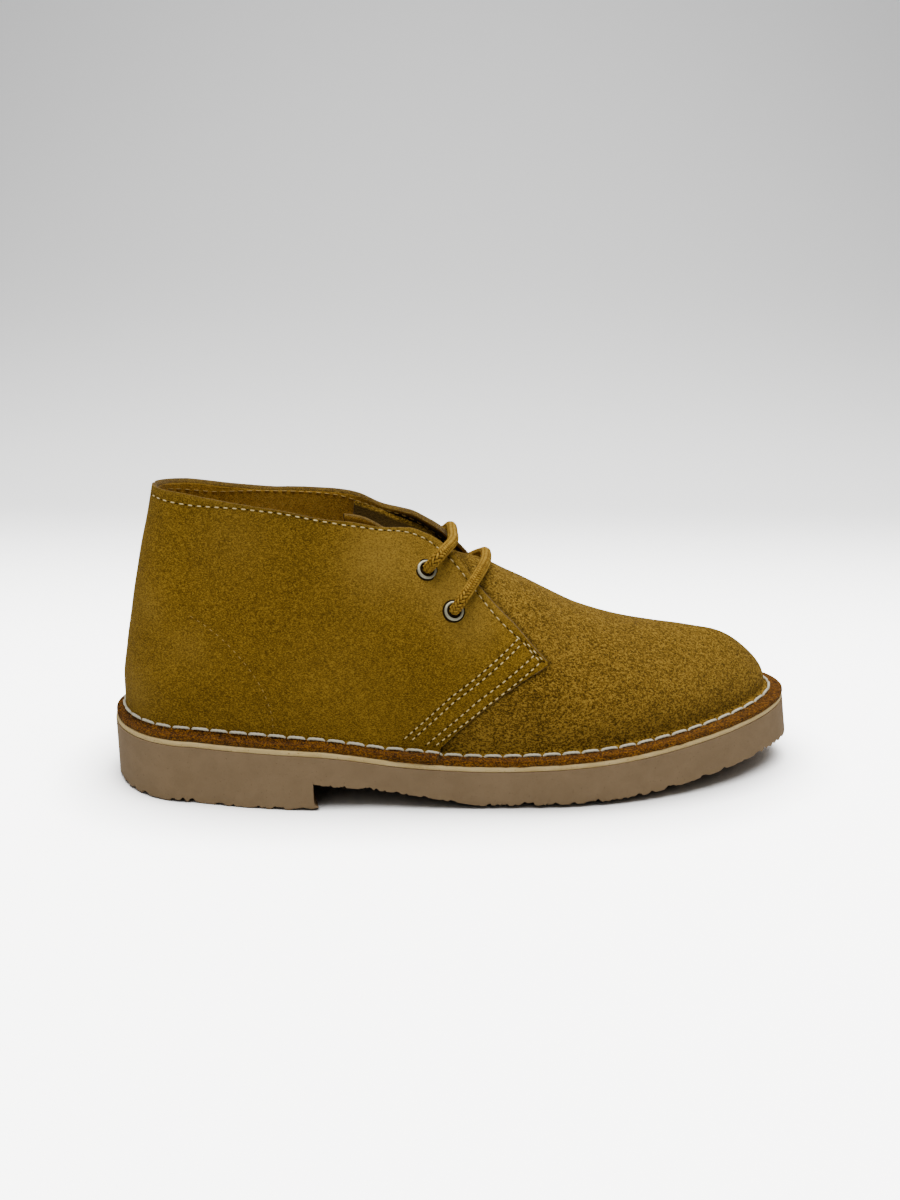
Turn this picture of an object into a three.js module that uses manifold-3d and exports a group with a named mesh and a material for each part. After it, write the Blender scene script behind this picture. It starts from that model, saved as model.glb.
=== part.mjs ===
// A right desert boot in suede, laced and empty, standing on its sole. Millimetres.
// x runs from the back of the sole to the tip of the toe, y from the lateral to the medial
// side, and z up from the floor. The last line of the file moves the origin under the middle.
import * as THREE from 'three';
import { mergeVertices } from 'three/addons/utils/BufferGeometryUtils.js';
import Module from 'manifold-3d';

const wasm = await Module();
wasm.setup();

const lateral = -1;
const medial = 1;

// Driving sizes
const bootLength = 300;
const heelCentre = 40;
const ballX = 183;
const tipY = 13;
const gap = 0.3;
const midsoleThickness = 2;
const flangeThickness = 1.9;
const wall = 1.7;
const quarterStep = 1.2;
const insoleThickness = 2.5;
const tongueThickness = 1.7;
const laceDiameter = 4.3;
const plugHeight = 142;

// A table has named columns and one row for each section.
function table(names, rows) {
  const columns = names.split(' ');
  return rows.map(row => Object.fromEntries(columns.map((name, i) => [name, row[i]])));
}

// A smooth curve through one column, which never overshoots its rows.
function curve(rows, column, key) {
  const keys = rows.map(row => row[key]);
  const values = rows.map(row => row[column]);
  const last = rows.length - 1;
  const rise = i => (values[i + 1] - values[i]) / (keys[i + 1] - keys[i]);
  const slope = i => {
    if (i === 0) return rise(0);
    if (i === last) return rise(last - 1);
    const before = rise(i - 1);
    const after = rise(i);
    return before * after <= 0 ? 0 : 2 * before * after / (before + after);
  };
  return at => {
    if (at <= keys[0]) return values[0];
    if (at >= keys[last]) return values[last];
    const i = keys.findIndex(key => key > at) - 1;
    const span = keys[i + 1] - keys[i];
    const t = (at - keys[i]) / span;
    const ease = t * t * (3 - 2 * t);
    const leave = t * (1 - t) * (1 - t) * span * slope(i);
    const arrive = t * t * (1 - t) * span * slope(i + 1);
    return values[i] * (1 - ease) + values[i + 1] * ease + leave - arrive;
  };
}

const mix = (a, b, t) => a + (b - a) * t;
const between = (low, high, at) => Math.min(1, Math.max(0, (at - low) / (high - low)));
const smooth = (low, high, at) => {
  const t = between(low, high, at);
  return t * t * (3 - 2 * t);
};

// Sole: half breadths of its top outline from heel to ball, and the heights along it
const solePlan = table('x lateral medial', [
  [40, 37.5, 36], [64, 41.4, 36.6], [90, 43.2, 36.8], [112, 43, 38], [140, 44.3, 42.5],
  [165, 44.9, 48], [190, 44.6, 52.6], [215, 44.6, 54.2]]);
const soleHeights = table('x top bottom edge', [
  [0, 26.1, 0, 1.2], [45, 24.9, 0, 0.4], [90, 23.4, 0, 0.4], [130, 18.8, 0, 1.4],
  [165, 17.6, 0, 1.6], [200, 18.6, 0, 1.8], [220, 20, 0.6, 2.6], [240, 22.4, 2.8, 4.8],
  [260, 25, 6, 7.8], [280, 27.5, 9.6, 10.8], [300, 29.8, 12.7, 13]]);
const waistLine = table('x z', [
  [90.8, 11], [104, 10], [118, 8.4], [132, 6.2], [148, 3.6], [160, 1.2], [170, -2]]);
// how far the side of the sole stands out at the bottom, by its place along the boot
const soleFlare = table('x lateral medial', [
  [0, -1.2, -1.2], [40, 0, 0], [90, 1.2, 1], [130, -1, -1], [180, -2, -1.5],
  [230, -1.5, -1], [280, 0.5, 1], [300, 3, 3]]);
const soleCorners = { heel: 1.9, lateralToe: 1.76, medialToe: 2.25, medialBall: 215 };

// Upper: where its wall stands in from the sole's edge, and its ridge over the forefoot
const wallFoot = 4.6;
const footInset = table('x inset', [[0, 5.4], [60, 6], [140, 6.4], [220, 7], [300, 9]]);
const ridge = table('x y z corner', [
  [100, 0, 136, 2.8], [114, 0, 126, 2.6], [129, 0, 118.4, 2.35], [137, 0.5, 113.6, 2.25],
  [143, 1, 109.2, 2.3], [150, 1.5, 103, 2.35], [158, 2.5, 96.4, 2.3], [166, 3, 91.6, 2.2],
  [180, 4.5, 84.6, 2.15], [203, 7, 73.7, 2.1], [226, 9.5, 66.6, 2], [246, 11.5, 62.8, 1.8],
  [260, 12.5, 61.2, 1.65]]);
// the place on the ridge that each station's arch rises to
const spinePlaces = table('x ridge', [[0, 0], [190, 190], [225, 219], [262, 241], [300, 257]]);
// Ankle: the back seam's place and the half breadths at four stations, by height
const ankle = table('z back w40 w60 w80 w100 w120 w140', [
  [30, 5.6, 31.6, 34.4, 35.8, 36, 36.2, 37.5], [45, 6.2, 32, 34.8, 36.2, 36.6, 37, 38],
  [60, 9, 30, 33.2, 35.2, 36.2, 37, 37.6], [77, 12.2, 26.2, 30, 32.8, 35, 36.2, 36],
  [95, 16.2, 21.2, 25.4, 28.8, 32.2, 33, 29], [112, 20.4, 17.4, 21.4, 25.6, 29.6, 26.6, 18],
  [124, 23.4, 15.4, 19.6, 24.2, 28, 22.4, 12], [142, 27.8, 13.4, 17.8, 22.6, 25, 17, 8]]);
const ankleStations = [40, 60, 80, 100, 120, 140];
const ankleEnds = 94;
const forefootStarts = 140;

// Side view lines, the same on both sides: collar and throat, then the quarter's edges
const collarLine = [
  [10, 131], [22, 128.4], [38, 126.6], [50, 124.8], [64, 123], [80, 121.4], [95, 119.2],
  [105, 118], [118, 114.8], [129.5, 113.4], [136.2, 110.4], [142.4, 106.6], [146.6, 102.4],
  [151.5, 97.2], [157, 90.4]];
const throatEnd = [160.5, 95.6];
const facingLine = [[157, 90.4], [165.2, 81.6], [172.6, 74.8], [180, 66.9], [186.6, 60.2]];
const quarterLine = [[186.6, 60.2], [174.5, 53.6], [163, 45.4], [153, 36.4], [143, 25.4], [139, 20]];

// Eyelets, by their place in the side view
const eyelets = table('name x z', [['upper', 136.7, 97.6], ['lower', 147.5, 82.2]]);
const eyeletSizes = { bore: 3.2, barrel: 3.7, flange: 4.65, hole: 4.05, lip: 0.7 };

// Tongue: height of its two side edges and of its middle
const tongueRows = table('x lateral middle medial', [
  [104, 120, 104, 115.6], [110, 118.6, 103.2, 114], [116, 115.6, 102.6, 112.4], [123, 111, 102, 110],
  [130, 107.4, 101.2, 108], [137, 104, 100.2, 105], [147, 94, 98.2, 94], [153, 89, 96, 89],
  [157, 86, 93.8, 86], [161, 83, 92, 83], [166, 80, 89.6, 80], [174, 76, 85.6, 76]]);

const soleTop = curve(soleHeights, 'top', 'x');
const soleBottom = curve(soleHeights, 'bottom', 'x');
const soleEdge = curve(soleHeights, 'edge', 'x');
const seat = x => soleTop(x) + midsoleThickness + gap;
const planCurves = {
  [lateral]: curve(solePlan, 'lateral', 'x'),
  [medial]: curve(solePlan, 'medial', 'x')
};
const flareCurves = {
  [lateral]: curve(soleFlare, 'lateral', 'x'),
  [medial]: curve(soleFlare, 'medial', 'x')
};

// The sole's outline: a rounded heel, the plan's half breadths, and a rounded toe
function outlineY(side, x) {
  const breadth = planCurves[side];
  if (x < heelCentre) {
    const n = soleCorners.heel;
    const back = Math.min(1, (heelCentre - x) / heelCentre);
    return side * breadth(heelCentre) * (1 - back ** n) ** (1 / n);
  }
  const start = side === lateral ? ballX : soleCorners.medialBall;
  if (x <= start) return side * breadth(x);
  const n = side === lateral ? soleCorners.lateralToe : soleCorners.medialToe;
  const front = Math.min(1, (x - start) / (bootLength - start));
  return tipY + (side * breadth(start) - tipY) * (1 - front ** n) ** (1 / n);
}

// Stations are closer together round the heel and the toe.
const heelSteps = 7;
const sideSteps = 15;
const toeSteps = 10;
const stationCount = heelSteps + sideSteps + toeSteps;
function stationX(i) {
  if (i <= heelSteps) return heelCentre * (1 - Math.cos(i / heelSteps * Math.PI / 2));
  if (i <= heelSteps + sideSteps) return mix(heelCentre, ballX, (i - heelSteps) / sideSteps);
  return mix(ballX, bootLength, Math.sin((i - heelSteps - sideSteps) / toeSteps * Math.PI / 2));
}

// A point on the outline, moved in towards the foot by a distance
function insetPoint(side, i, inset) {
  const x = stationX(i);
  const y = outlineY(side, x);
  let normal = new THREE.Vector2(i === 0 ? -1 : 1, 0);
  if (i > 0 && i < stationCount) {
    const step = 0.05;
    const before = stationX(i - step);
    const after = stationX(i + step);
    normal = new THREE.Vector2(outlineY(side, after) - outlineY(side, before), before - after);
    normal.multiplyScalar(-side).normalize();
  }
  return new THREE.Vector2(x - normal.x * inset, y - normal.y * inset);
}

// The ankle's surface at one height
const ankleBack = curve(ankle, 'back', 'z');
const ankleBreadths = ankleStations.map(x => curve(ankle, 'w' + x, 'z'));
function anklePoint(side, x, z) {
  const rows = ankleStations.map((station, i) => ({ x: station, w: ankleBreadths[i](z) }));
  const breadth = curve(rows, 'w', 'x');
  if (x >= heelCentre) return new THREE.Vector2(x, side * breadth(x));
  const back = Math.min(1, (heelCentre - x) / heelCentre);
  return new THREE.Vector2(
    heelCentre - (heelCentre - ankleBack(z)) * back,
    side * breadth(heelCentre) * Math.sqrt(1 - back * back));
}

// The last's surface: i runs from heel to toe, t from the foot of the wall to the ridge.
const ridgeY = curve(ridge, 'y', 'x');
const ridgeZ = curve(ridge, 'z', 'x');
const ridgeCorner = curve(ridge, 'corner', 'x');
const spineX = curve(spinePlaces, 'ridge', 'x');
const insetAt = curve(footInset, 'inset', 'x');
const forefootSwell = { reach: 2.2, share: 0.62, toeEnds: 293 };
const fadeHeight = 80;
function lastPoint(side, i, t) {
  const x = stationX(i);
  const foot = insetPoint(side, i, insetAt(x));
  const footZ = seat(foot.x) + wallFoot;

  // the ankle's form, drawn out to the foot of the wall at its lower end
  const ankleZ = mix(footZ, plugHeight, t);
  const low = anklePoint(side, x, footZ);
  const fade = 1 - smooth(footZ, fadeHeight, ankleZ);
  const atAnkle = anklePoint(side, x, ankleZ);
  atAnkle.x += (foot.x - low.x) * fade;
  atAnkle.y += (foot.y - low.y) * fade;

  // the forefoot's form, a rounded arch from the foot of the wall to the ridge
  const spine = spineX(x);
  const corner = 2 / ridgeCorner(spine);
  const across = Math.cos(t * Math.PI / 2) ** corner;
  const upward = Math.sin(t * Math.PI / 2) ** corner;
  const { reach, share, toeEnds } = forefootSwell;
  const bulge = reach * Math.sin(Math.min(1, t / share) * Math.PI) * smooth(toeEnds, ballX, x);
  const forefootX = mix(spine, foot.x, across);
  const forefootY = mix(ridgeY(spine), foot.y, across) + side * bulge;
  const forefootZ = mix(footZ, ridgeZ(spine), upward);

  const blend = smooth(ankleEnds, forefootStarts, x);
  return new THREE.Vector3(
    mix(atAnkle.x, forefootX, blend),
    mix(atAnkle.y, forefootY, blend),
    mix(ankleZ, forefootZ, blend));
}

// The way that the last's surface faces
function lastNormal(side, i, t) {
  const step = 0.02;
  if (t > 1 - step && stationX(i) >= forefootStarts) {
    const pair = [lateral, medial].map(one => lastNormal(one, i, 1 - 2 * step));
    return pair[0].add(pair[1]).setY(0).normalize();
  }
  const level = Math.min(Math.max(t, step), 1 - 2 * step);
  const up = lastPoint(side, i, level + step).sub(lastPoint(side, i, level - step));
  if (i <= 0 || i >= stationCount) {
    return new THREE.Vector3(up.z, 0, -up.x).multiplyScalar(i <= 0 ? -1 : 1).normalize();
  }
  const along = lastPoint(side, i + step, level).sub(lastPoint(side, i - step, level));
  return up.cross(along).multiplyScalar(side).normalize();
}

const offsetPoint = (side, i, t, offset) =>
  lastPoint(side, i, t).addScaledVector(lastNormal(side, i, t), offset);

// A ring of points round the boot, lateral side first, from a function of side and station
function ring(point) {
  const points = [];
  for (let i = 0; i <= stationCount; i++) points.push(point(lateral, i));
  for (let i = stationCount - 1; i > 0; i--) points.push(point(medial, i));
  return points;
}

// A closed solid from rings, bottom ring first, with a strip of faces across each end
function ringSolid(rings) {
  const around = rings[0].length;
  const faces = [];
  const quad = (a, b, c, d) => faces.push([a, b, c], [a, c, d]);
  for (let k = 0; k + 1 < rings.length; k++) {
    for (let j = 0; j < around; j++) {
      const next = (j + 1) % around;
      quad(k * around + j, k * around + next, (k + 1) * around + next, (k + 1) * around + j);
    }
  }
  const top = (rings.length - 1) * around;
  for (let i = 0; i < stationCount; i++) {
    const far = (around - i) % around;
    const farNext = around - i - 1;
    quad(i, far, farNext, i + 1);
    quad(top + i, top + i + 1, top + farNext, top + far);
  }
  return solidOf(rings.flat(), faces);
}

// A closed solid from points and triangles, with points that coincide made one
function solidOf(points, faces) {
  const geometry = new THREE.BufferGeometry().setFromPoints(points);
  geometry.setIndex(faces.flat());
  return solidFrom(geometry);
}

function solidFrom(geometry) {
  const plain = geometry.index ? geometry.clone() : geometry;
  plain.deleteAttribute('normal');
  plain.deleteAttribute('uv');
  const merged = mergeVertices(plain, 1e-3);
  const corners = merged.index.array;
  const kept = [];
  for (let k = 0; k < corners.length; k += 3) {
    const [a, b, c] = corners.slice(k, k + 3);
    if (a !== b && b !== c && c !== a) kept.push(a, b, c);
  }
  return new wasm.Manifold(new wasm.Mesh({
    numProp: 3,
    vertProperties: new Float32Array(merged.attributes.position.array),
    triVerts: new Uint32Array(kept)
  }));
}

function geometryOf(solid) {
  const mesh = solid.getMesh();
  const geometry = new THREE.BufferGeometry();
  geometry.setAttribute('position', new THREE.BufferAttribute(mesh.vertProperties, 3));
  geometry.setIndex(new THREE.BufferAttribute(mesh.triVerts, 1));
  geometry.computeVertexNormals();
  return geometry;
}

// A block right across the boot with the given outline in the side view
function sideBlock(points) {
  const reach = 90;
  const shape = new THREE.Shape(points.map(([x, z]) => new THREE.Vector2(x, z)));
  const geometry = new THREE.ExtrudeGeometry(shape, { depth: 2 * reach, bevelEnabled: false });
  geometry.rotateX(Math.PI / 2);
  geometry.translate(0, reach, 0);
  return solidFrom(geometry);
}

function smoothLine(points, steps) {
  const line = new THREE.SplineCurve(points.map(([x, z]) => new THREE.Vector2(x, z)));
  return line.getPoints(steps).map(point => [point.x, point.y]);
}

// Outsole: crepe-like slab with a heel, worn round at its lower edge
function makeOutsole() {
  const treadInset = 9;
  const edgeRing = ring((side, i) => {
    const x = stationX(i);
    const point = insetPoint(side, i, -flareCurves[side](x));
    return new THREE.Vector3(point.x, point.y, soleEdge(x));
  });
  const treadRing = ring((side, i) => {
    const point = insetPoint(side, i, treadInset);
    return new THREE.Vector3(point.x, point.y, soleBottom(point.x));
  });
  const topRing = ring((side, i) => {
    const point = insetPoint(side, i, 0);
    return new THREE.Vector3(point.x, point.y, soleTop(point.x));
  });
  const waist = smoothLine(waistLine.map(row => [row.x, row.z]), 14);
  const under = sideBlock([[waist[0][0], -20], ...waist, [waist.at(-1)[0], -20]]);
  return ringSolid([treadRing, edgeRing, topRing]).subtract(under);
}

// A level layer on the sole, from one height above it to another
function makeLayer(outline, low, high) {
  const level = lift => ring((side, i) => {
    const point = outline(side, i);
    return new THREE.Vector3(point.x, point.y, soleTop(point.x) + lift);
  });
  return ringSolid([level(low), level(high)]);
}

const midsoleInset = 0.4;
const makeMidsole = () => makeLayer(
  (side, i) => insetPoint(side, i, midsoleInset), gap, midsoleThickness);

const insoleClear = 0.5;
const makeInsole = () => makeLayer(
  (side, i) => insetPoint(side, i, insetAt(stationX(i)) + wall + insoleClear),
  midsoleThickness + gap, midsoleThickness + gap + insoleThickness);

// Upper: its turned-out flange in shares of the way in to the wall, then the wall to the ridge
const flangeProfile = table('share lift', [
  [0.06, 0], [0, 1], [0.1, flangeThickness], [0.5, 2.3], [0.82, 3]]);
const flangeEdge = 0.5;
const coveRoom = 0.4;
const wallLevels = 12;
function outerForm(offset) {
  const rings = flangeProfile.map(row => ring((side, i) => {
    const full = insetAt(stationX(i));
    const inset = mix(flangeEdge, full, row.share);
    const point = insetPoint(side, i, Math.min(inset, full - offset - coveRoom));
    return new THREE.Vector3(point.x, point.y, seat(point.x) + row.lift);
  }));
  for (let k = 0; k <= wallLevels; k++) {
    rings.push(ring((side, i) => offsetPoint(side, i, k / wallLevels, offset)));
  }
  return ringSolid(rings);
}

function innerForm() {
  const depth = 10;
  const below = ring((side, i) => {
    const point = offsetPoint(side, i, 0, -wall);
    return point.setZ(soleTop(point.x) - depth);
  });
  const rings = [below];
  for (let k = 0; k <= wallLevels; k++) {
    rings.push(ring((side, i) => offsetPoint(side, i, k / wallLevels, -wall)));
  }
  return ringSolid(rings);
}

function makeUpper() {
  const collar = smoothLine(collarLine, 40);
  const above = sideBlock([[-20, 200], [-20, collar[0][1]], ...collar, throatEnd, [163, 200]]);
  const quarterEdge = [...smoothLine(facingLine, 8), ...smoothLine(quarterLine, 12).slice(1)];
  const quarters = sideBlock([[-20, 200], [-20, -20], [139, -20], ...quarterEdge.reverse(), [157, 200]]);
  let upper = outerForm(0).add(outerForm(quarterStep).intersect(quarters));
  upper = upper.subtract(innerForm()).subtract(above);
  for (const seatOf of eyeletSeats) {
    const hole = new THREE.CylinderGeometry(eyeletSizes.hole, eyeletSizes.hole, 12, 16);
    upper = upper.subtract(solidFrom(placed(hole, seatOf)));
  }
  return upper;
}

// The station at an x between the heel's and the toe's caps
const stationOf = x => heelSteps + (x - heelCentre) / (ballX - heelCentre) * sideSteps;

// The share of the way up the wall at which a test, true at the foot, turns false
function shareUp(isBelow) {
  let low = 0.3;
  let high = 1;
  for (let k = 0; k < 30; k++) {
    const middle = (low + high) / 2;
    if (isBelow(middle)) low = middle;
    else high = middle;
  }
  return low;
}

// The place on the wall at an x and a height in the side view
function onWall(side, x, z, offset) {
  const i = stationOf(x);
  const t = shareUp(share => offsetPoint(side, i, share, offset).z < z);
  return { point: offsetPoint(side, i, t, offset), normal: lastNormal(side, i, t) };
}

// The height of the wall at an x and a y
function wallHeight(side, x, y, offset) {
  const i = stationOf(x);
  const t = shareUp(share => side * (offsetPoint(side, i, share, offset).y - y) > 0);
  return offsetPoint(side, i, t, offset).z;
}

// Eyelets: a rolled metal ring through each hole of the facings
const eyeletSeats = [lateral, medial].flatMap(side => eyelets.map(row => ({
  name: `eyelet_${row.name}_${side === lateral ? 'lateral' : 'medial'}`,
  side,
  row,
  ...onWall(side, row.x, row.z, quarterStep)
})));

function placed(geometry, seatOf) {
  const turn = new THREE.Quaternion().setFromUnitVectors(new THREE.Vector3(0, 1, 0), seatOf.normal);
  geometry.applyQuaternion(turn);
  geometry.translate(seatOf.point.x, seatOf.point.y, seatOf.point.z);
  return geometry;
}

function makeEyelet(seatOf) {
  const { bore, barrel, flange, lip } = eyeletSizes;
  const front = 0.7;
  const back = -(wall + quarterStep) - 0.9;
  const round = 0.3;
  const profile = [
    [bore, back - lip], [flange - round, back - lip], [flange - round, back], [barrel, back],
    [barrel, front], [flange, front], [flange - round, front + lip], [bore + round, front + lip],
    [bore, front], [bore, back - lip]];
  const ringShape = new THREE.LatheGeometry(profile.map(([r, h]) => new THREE.Vector2(r, h)), 16);
  return solidFrom(placed(ringShape, seatOf));
}

// Tongue: a wide bib that lies against both facings and dips between them
const tongueSide = {
  [lateral]: curve(tongueRows, 'lateral', 'x'),
  [medial]: curve(tongueRows, 'medial', 'x')
};
const tongueMiddle = curve(tongueRows, 'middle', 'x');
const tongueSteps = { along: 16, across: 14 };
const tongueClear = 0.7;
const tongueUnderVamp = { from: 153, to: 161 };
const tongueBend = { hollow: 3.4, flat: 2 };
const edgeSlant = 0.3;
function tonguePoint(x, across, drop) {
  const side = across < 0 ? lateral : medial;
  const clear = wall + tongueClear + drop;
  const edge = onWall(side, x, tongueSide[side](x) - drop * edgeSlant, -clear).point;
  const centreY = ridgeY(x) * smooth(ankleEnds, forefootStarts, x);
  const share = Math.abs(across);
  const y = mix(centreY, edge.y, share);
  const { hollow, flat } = tongueBend;
  const bend = mix(hollow, flat, smooth(ankleEnds, forefootStarts + 8, x));
  const dipped = mix(tongueMiddle(x) - drop, edge.z, share ** bend);
  const arched = wallHeight(side, x, y, -clear);
  const { from, to } = tongueUnderVamp;
  return new THREE.Vector3(x, y, mix(dipped, arched, smooth(from, to, x)));
}

function makeTongue() {
  const { along, across } = tongueSteps;
  const first = tongueRows[0].x;
  const final = tongueRows.at(-1).x;
  const points = [];
  const faces = [];
  for (const drop of [0, tongueThickness]) {
    for (let k = 0; k <= along; k++) {
      for (let j = 0; j <= across; j++) {
        points.push(tonguePoint(mix(first, final, k / along), mix(-1, 1, j / across), drop));
      }
    }
  }
  const at = (layer, k, j) => (layer * (along + 1) + k) * (across + 1) + j;
  const quad = (a, b, c, d) => faces.push([a, b, c], [a, c, d]);
  for (let k = 0; k < along; k++) {
    for (let j = 0; j < across; j++) {
      quad(at(0, k, j), at(0, k + 1, j), at(0, k + 1, j + 1), at(0, k, j + 1));
      quad(at(1, k, j), at(1, k, j + 1), at(1, k + 1, j + 1), at(1, k + 1, j));
    }
    quad(at(0, k, 0), at(1, k, 0), at(1, k + 1, 0), at(0, k + 1, 0));
    quad(at(0, k, across), at(0, k + 1, across), at(1, k + 1, across), at(1, k, across));
  }
  for (let j = 0; j < across; j++) {
    quad(at(0, 0, j), at(0, 0, j + 1), at(1, 0, j + 1), at(1, 0, j));
    quad(at(0, along, j), at(1, along, j), at(1, along, j + 1), at(0, along, j + 1));
  }
  return solidOf(points, faces);
}

// Lace: one cord with two bars over the facings, and both ends inside at the top
const barRoutes = table('name x reach z', [
  ['upper', 140.4, 28.4, 103.6], ['upper', 142.8, 24, 106], ['upper', 145.4, 13, 107.8],
  ['lower', 150.8, 33, 88.2], ['lower', 154, 28, 91.8], ['lower', 157.8, 19.5, 96.4],
  ['lower', 160, 8, 98.9]]);
const eyeletPasses = [-7.4, -4.6, -1.6, 1.6];
const hiddenEnds = { start: new THREE.Vector3(-5, -1, 7), end: new THREE.Vector3(-7, -1, 4) };
function makeLace() {
  const seatOf = (side, name) => eyeletSeats.find(one => one.side === side && one.row.name === name);
  const along = (one, height) => one.point.clone().addScaledVector(one.normal, height);
  const half = (side, name) => {
    const passes = eyeletPasses.map(height => along(seatOf(side, name), height));
    const rows = barRoutes.filter(row => row.name === name);
    return [...passes, ...rows.map(row => new THREE.Vector3(row.x, side * row.reach, row.z))];
  };
  const lower = [...half(medial, 'lower'), ...half(lateral, 'lower').reverse()];
  const upper = [...half(lateral, 'upper'), ...half(medial, 'upper').reverse()];
  const start = lower[0].clone().add(hiddenEnds.start);
  const end = upper.at(-1).clone().add(hiddenEnds.end);
  const route = [start, ...lower, ...upper, end];
  const path = new THREE.CatmullRomCurve3(route, false, 'centripetal');
  const sides = 8;
  const section = new THREE.Shape();
  for (let k = 0; k < sides; k++) {
    const angle = k / sides * 2 * Math.PI;
    const x = laceDiameter / 2 * Math.cos(angle);
    const y = laceDiameter / 2 * Math.sin(angle);
    if (k === 0) section.moveTo(x, y);
    else section.lineTo(x, y);
  }
  section.closePath();
  const settings = { steps: 72, bevelEnabled: false, extrudePath: path };
  return solidFrom(new THREE.ExtrudeGeometry(section, settings));
}

// Finishes
const suede = new THREE.MeshStandardMaterial({ color: 0x8f6a22, roughness: 0.95, metalness: 0 });
const crepe = new THREE.MeshStandardMaterial({ color: 0x8a7260, roughness: 0.85, metalness: 0 });
const cream = new THREE.MeshStandardMaterial({ color: 0xcdb691, roughness: 0.8, metalness: 0 });
const lining = new THREE.MeshStandardMaterial({ color: 0xa98545, roughness: 0.9, metalness: 0 });
const metal = new THREE.MeshStandardMaterial({ color: 0xb9b39f, roughness: 0.35, metalness: 0.9 });
const cord = new THREE.MeshStandardMaterial({ color: 0x84641f, roughness: 0.9, metalness: 0 });

const boot = new THREE.Group();
function addPiece(name, solid, material) {
  const mesh = new THREE.Mesh(geometryOf(solid), material);
  mesh.name = name;
  boot.add(mesh);
}

addPiece('outsole', makeOutsole(), crepe);
addPiece('midsole', makeMidsole(), cream);
addPiece('insole', makeInsole(), lining);
addPiece('upper', makeUpper(), suede);
addPiece('tongue', makeTongue(), suede);
for (const seatOf of eyeletSeats) addPiece(seatOf.name, makeEyelet(seatOf), metal);
addPiece('lace', makeLace(), cord);

const box = new THREE.Box3().setFromObject(boot);
boot.position.set(-(box.min.x + box.max.x) / 2, -(box.min.y + box.max.y) / 2, -box.min.z);
boot.updateMatrixWorld(true);

export default boot;
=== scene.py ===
import math
import bmesh
import bpy
import numpy as np
from mathutils import Matrix, Vector


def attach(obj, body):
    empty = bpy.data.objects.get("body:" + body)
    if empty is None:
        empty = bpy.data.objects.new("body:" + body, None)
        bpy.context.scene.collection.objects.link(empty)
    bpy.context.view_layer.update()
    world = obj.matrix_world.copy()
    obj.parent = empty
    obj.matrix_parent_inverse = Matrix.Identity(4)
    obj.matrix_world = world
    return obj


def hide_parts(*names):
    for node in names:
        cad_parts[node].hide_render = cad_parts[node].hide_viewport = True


# A right desert boot over its CAD solids. Shapes are worked out in the boot's own millimetres:
# x from the heel to the toe, y to the medial side, z up from the floor.
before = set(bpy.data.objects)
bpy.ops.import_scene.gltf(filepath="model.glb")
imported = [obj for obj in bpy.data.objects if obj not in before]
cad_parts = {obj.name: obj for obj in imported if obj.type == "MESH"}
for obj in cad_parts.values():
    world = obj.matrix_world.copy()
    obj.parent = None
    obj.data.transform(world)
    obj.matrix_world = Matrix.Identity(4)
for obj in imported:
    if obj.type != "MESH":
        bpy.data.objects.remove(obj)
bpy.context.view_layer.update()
print("frame loaded:", ", ".join(sorted(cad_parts)))

lateral, medial = -1, 1


def table(names, *rows):
    return dict(zip(names.split(), np.array(rows, float).T))


def curveThrough(keys, values):
    keys, values = np.array(keys, float), np.array(values, float)
    rise = np.diff(values) / np.diff(keys)
    slope = np.concatenate([rise[:1], np.zeros(len(keys) - 2), rise[-1:]])
    product, total = rise[:-1] * rise[1:], rise[:-1] + rise[1:]
    agree = product > 0
    slope[1:-1][agree] = 2 * product[agree] / total[agree]

    def at(place):
        place = np.clip(place, keys[0], keys[-1])
        k = np.clip(np.searchsorted(keys, place, side="right") - 1, 0, len(keys) - 2)
        span = keys[k + 1] - keys[k]
        t = (place - keys[k]) / span
        ease = t * t * (3 - 2 * t)
        leave = t * (1 - t) ** 2 * span * slope[k]
        arrive = t * t * (1 - t) * span * slope[k + 1]
        return values[k] * (1 - ease) + values[k + 1] * ease + leave - arrive

    return at


def curveOf(rows, column, key="x"):
    return curveThrough(rows[key], rows[column])


def mix(a, b, t):
    return a + (b - a) * t


def smooth(low, high, at):
    t = np.clip((at - low) / (high - low), 0, 1)
    return t * t * (3 - 2 * t)


# The last and the sole
form = {
    "length": 300, "heelCentre": 40, "ballX": 183, "tipY": 13,
    "heelSteps": 7, "sideSteps": 15, "toeSteps": 10,
    "gap": 0.3, "midsole": 2, "wall": 1.7,
    "wallFoot": 4.6, "plugHeight": 142, "fadeHeight": 80, "ankleEnds": 94, "forefootStarts": 140,
    "swell": 2.2, "swellShare": 0.62, "toeEnds": 293,
    "heelCorner": 1.9, "toeCorner": {lateral: 1.76, medial: 2.25}, "ball": {lateral: 183, medial: 215},
}
solePlan = table(
    "x lateral medial",
    (40, 37.5, 36), (64, 41.4, 36.6), (90, 43.2, 36.8), (112, 43, 38), (140, 44.3, 42.5),
    (165, 44.9, 48), (190, 44.6, 52.6), (215, 44.6, 54.2),
)
soleHeights = table(
    "x top bottom edge",
    (0, 26.1, 0, 1.2), (45, 24.9, 0, 0.4), (90, 23.4, 0, 0.4), (130, 18.8, 0, 1.4),
    (165, 17.6, 0, 1.6), (200, 18.6, 0, 1.8), (220, 20, 0.6, 2.6), (240, 22.4, 2.8, 4.8),
    (260, 25, 6, 7.8), (280, 27.5, 9.6, 10.8), (300, 29.8, 12.7, 13),
)
soleFlare = table(
    "x lateral medial",
    (0, 0.5, 0.5), (40, 0.3, 0), (90, 1.2, 1), (130, -1, -1), (180, -2, -1.5),
    (230, -1.5, -1), (280, 0.5, 1), (300, 3, 3),
)
waistLine = table("x z", (90.8, 11), (104, 10), (118, 8.4), (132, 6.2), (148, 3.6), (160, 1.2), (170, -2))
footInset = table("x inset", (0, 5.4), (60, 6), (140, 6.4), (220, 7), (300, 9))
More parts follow.
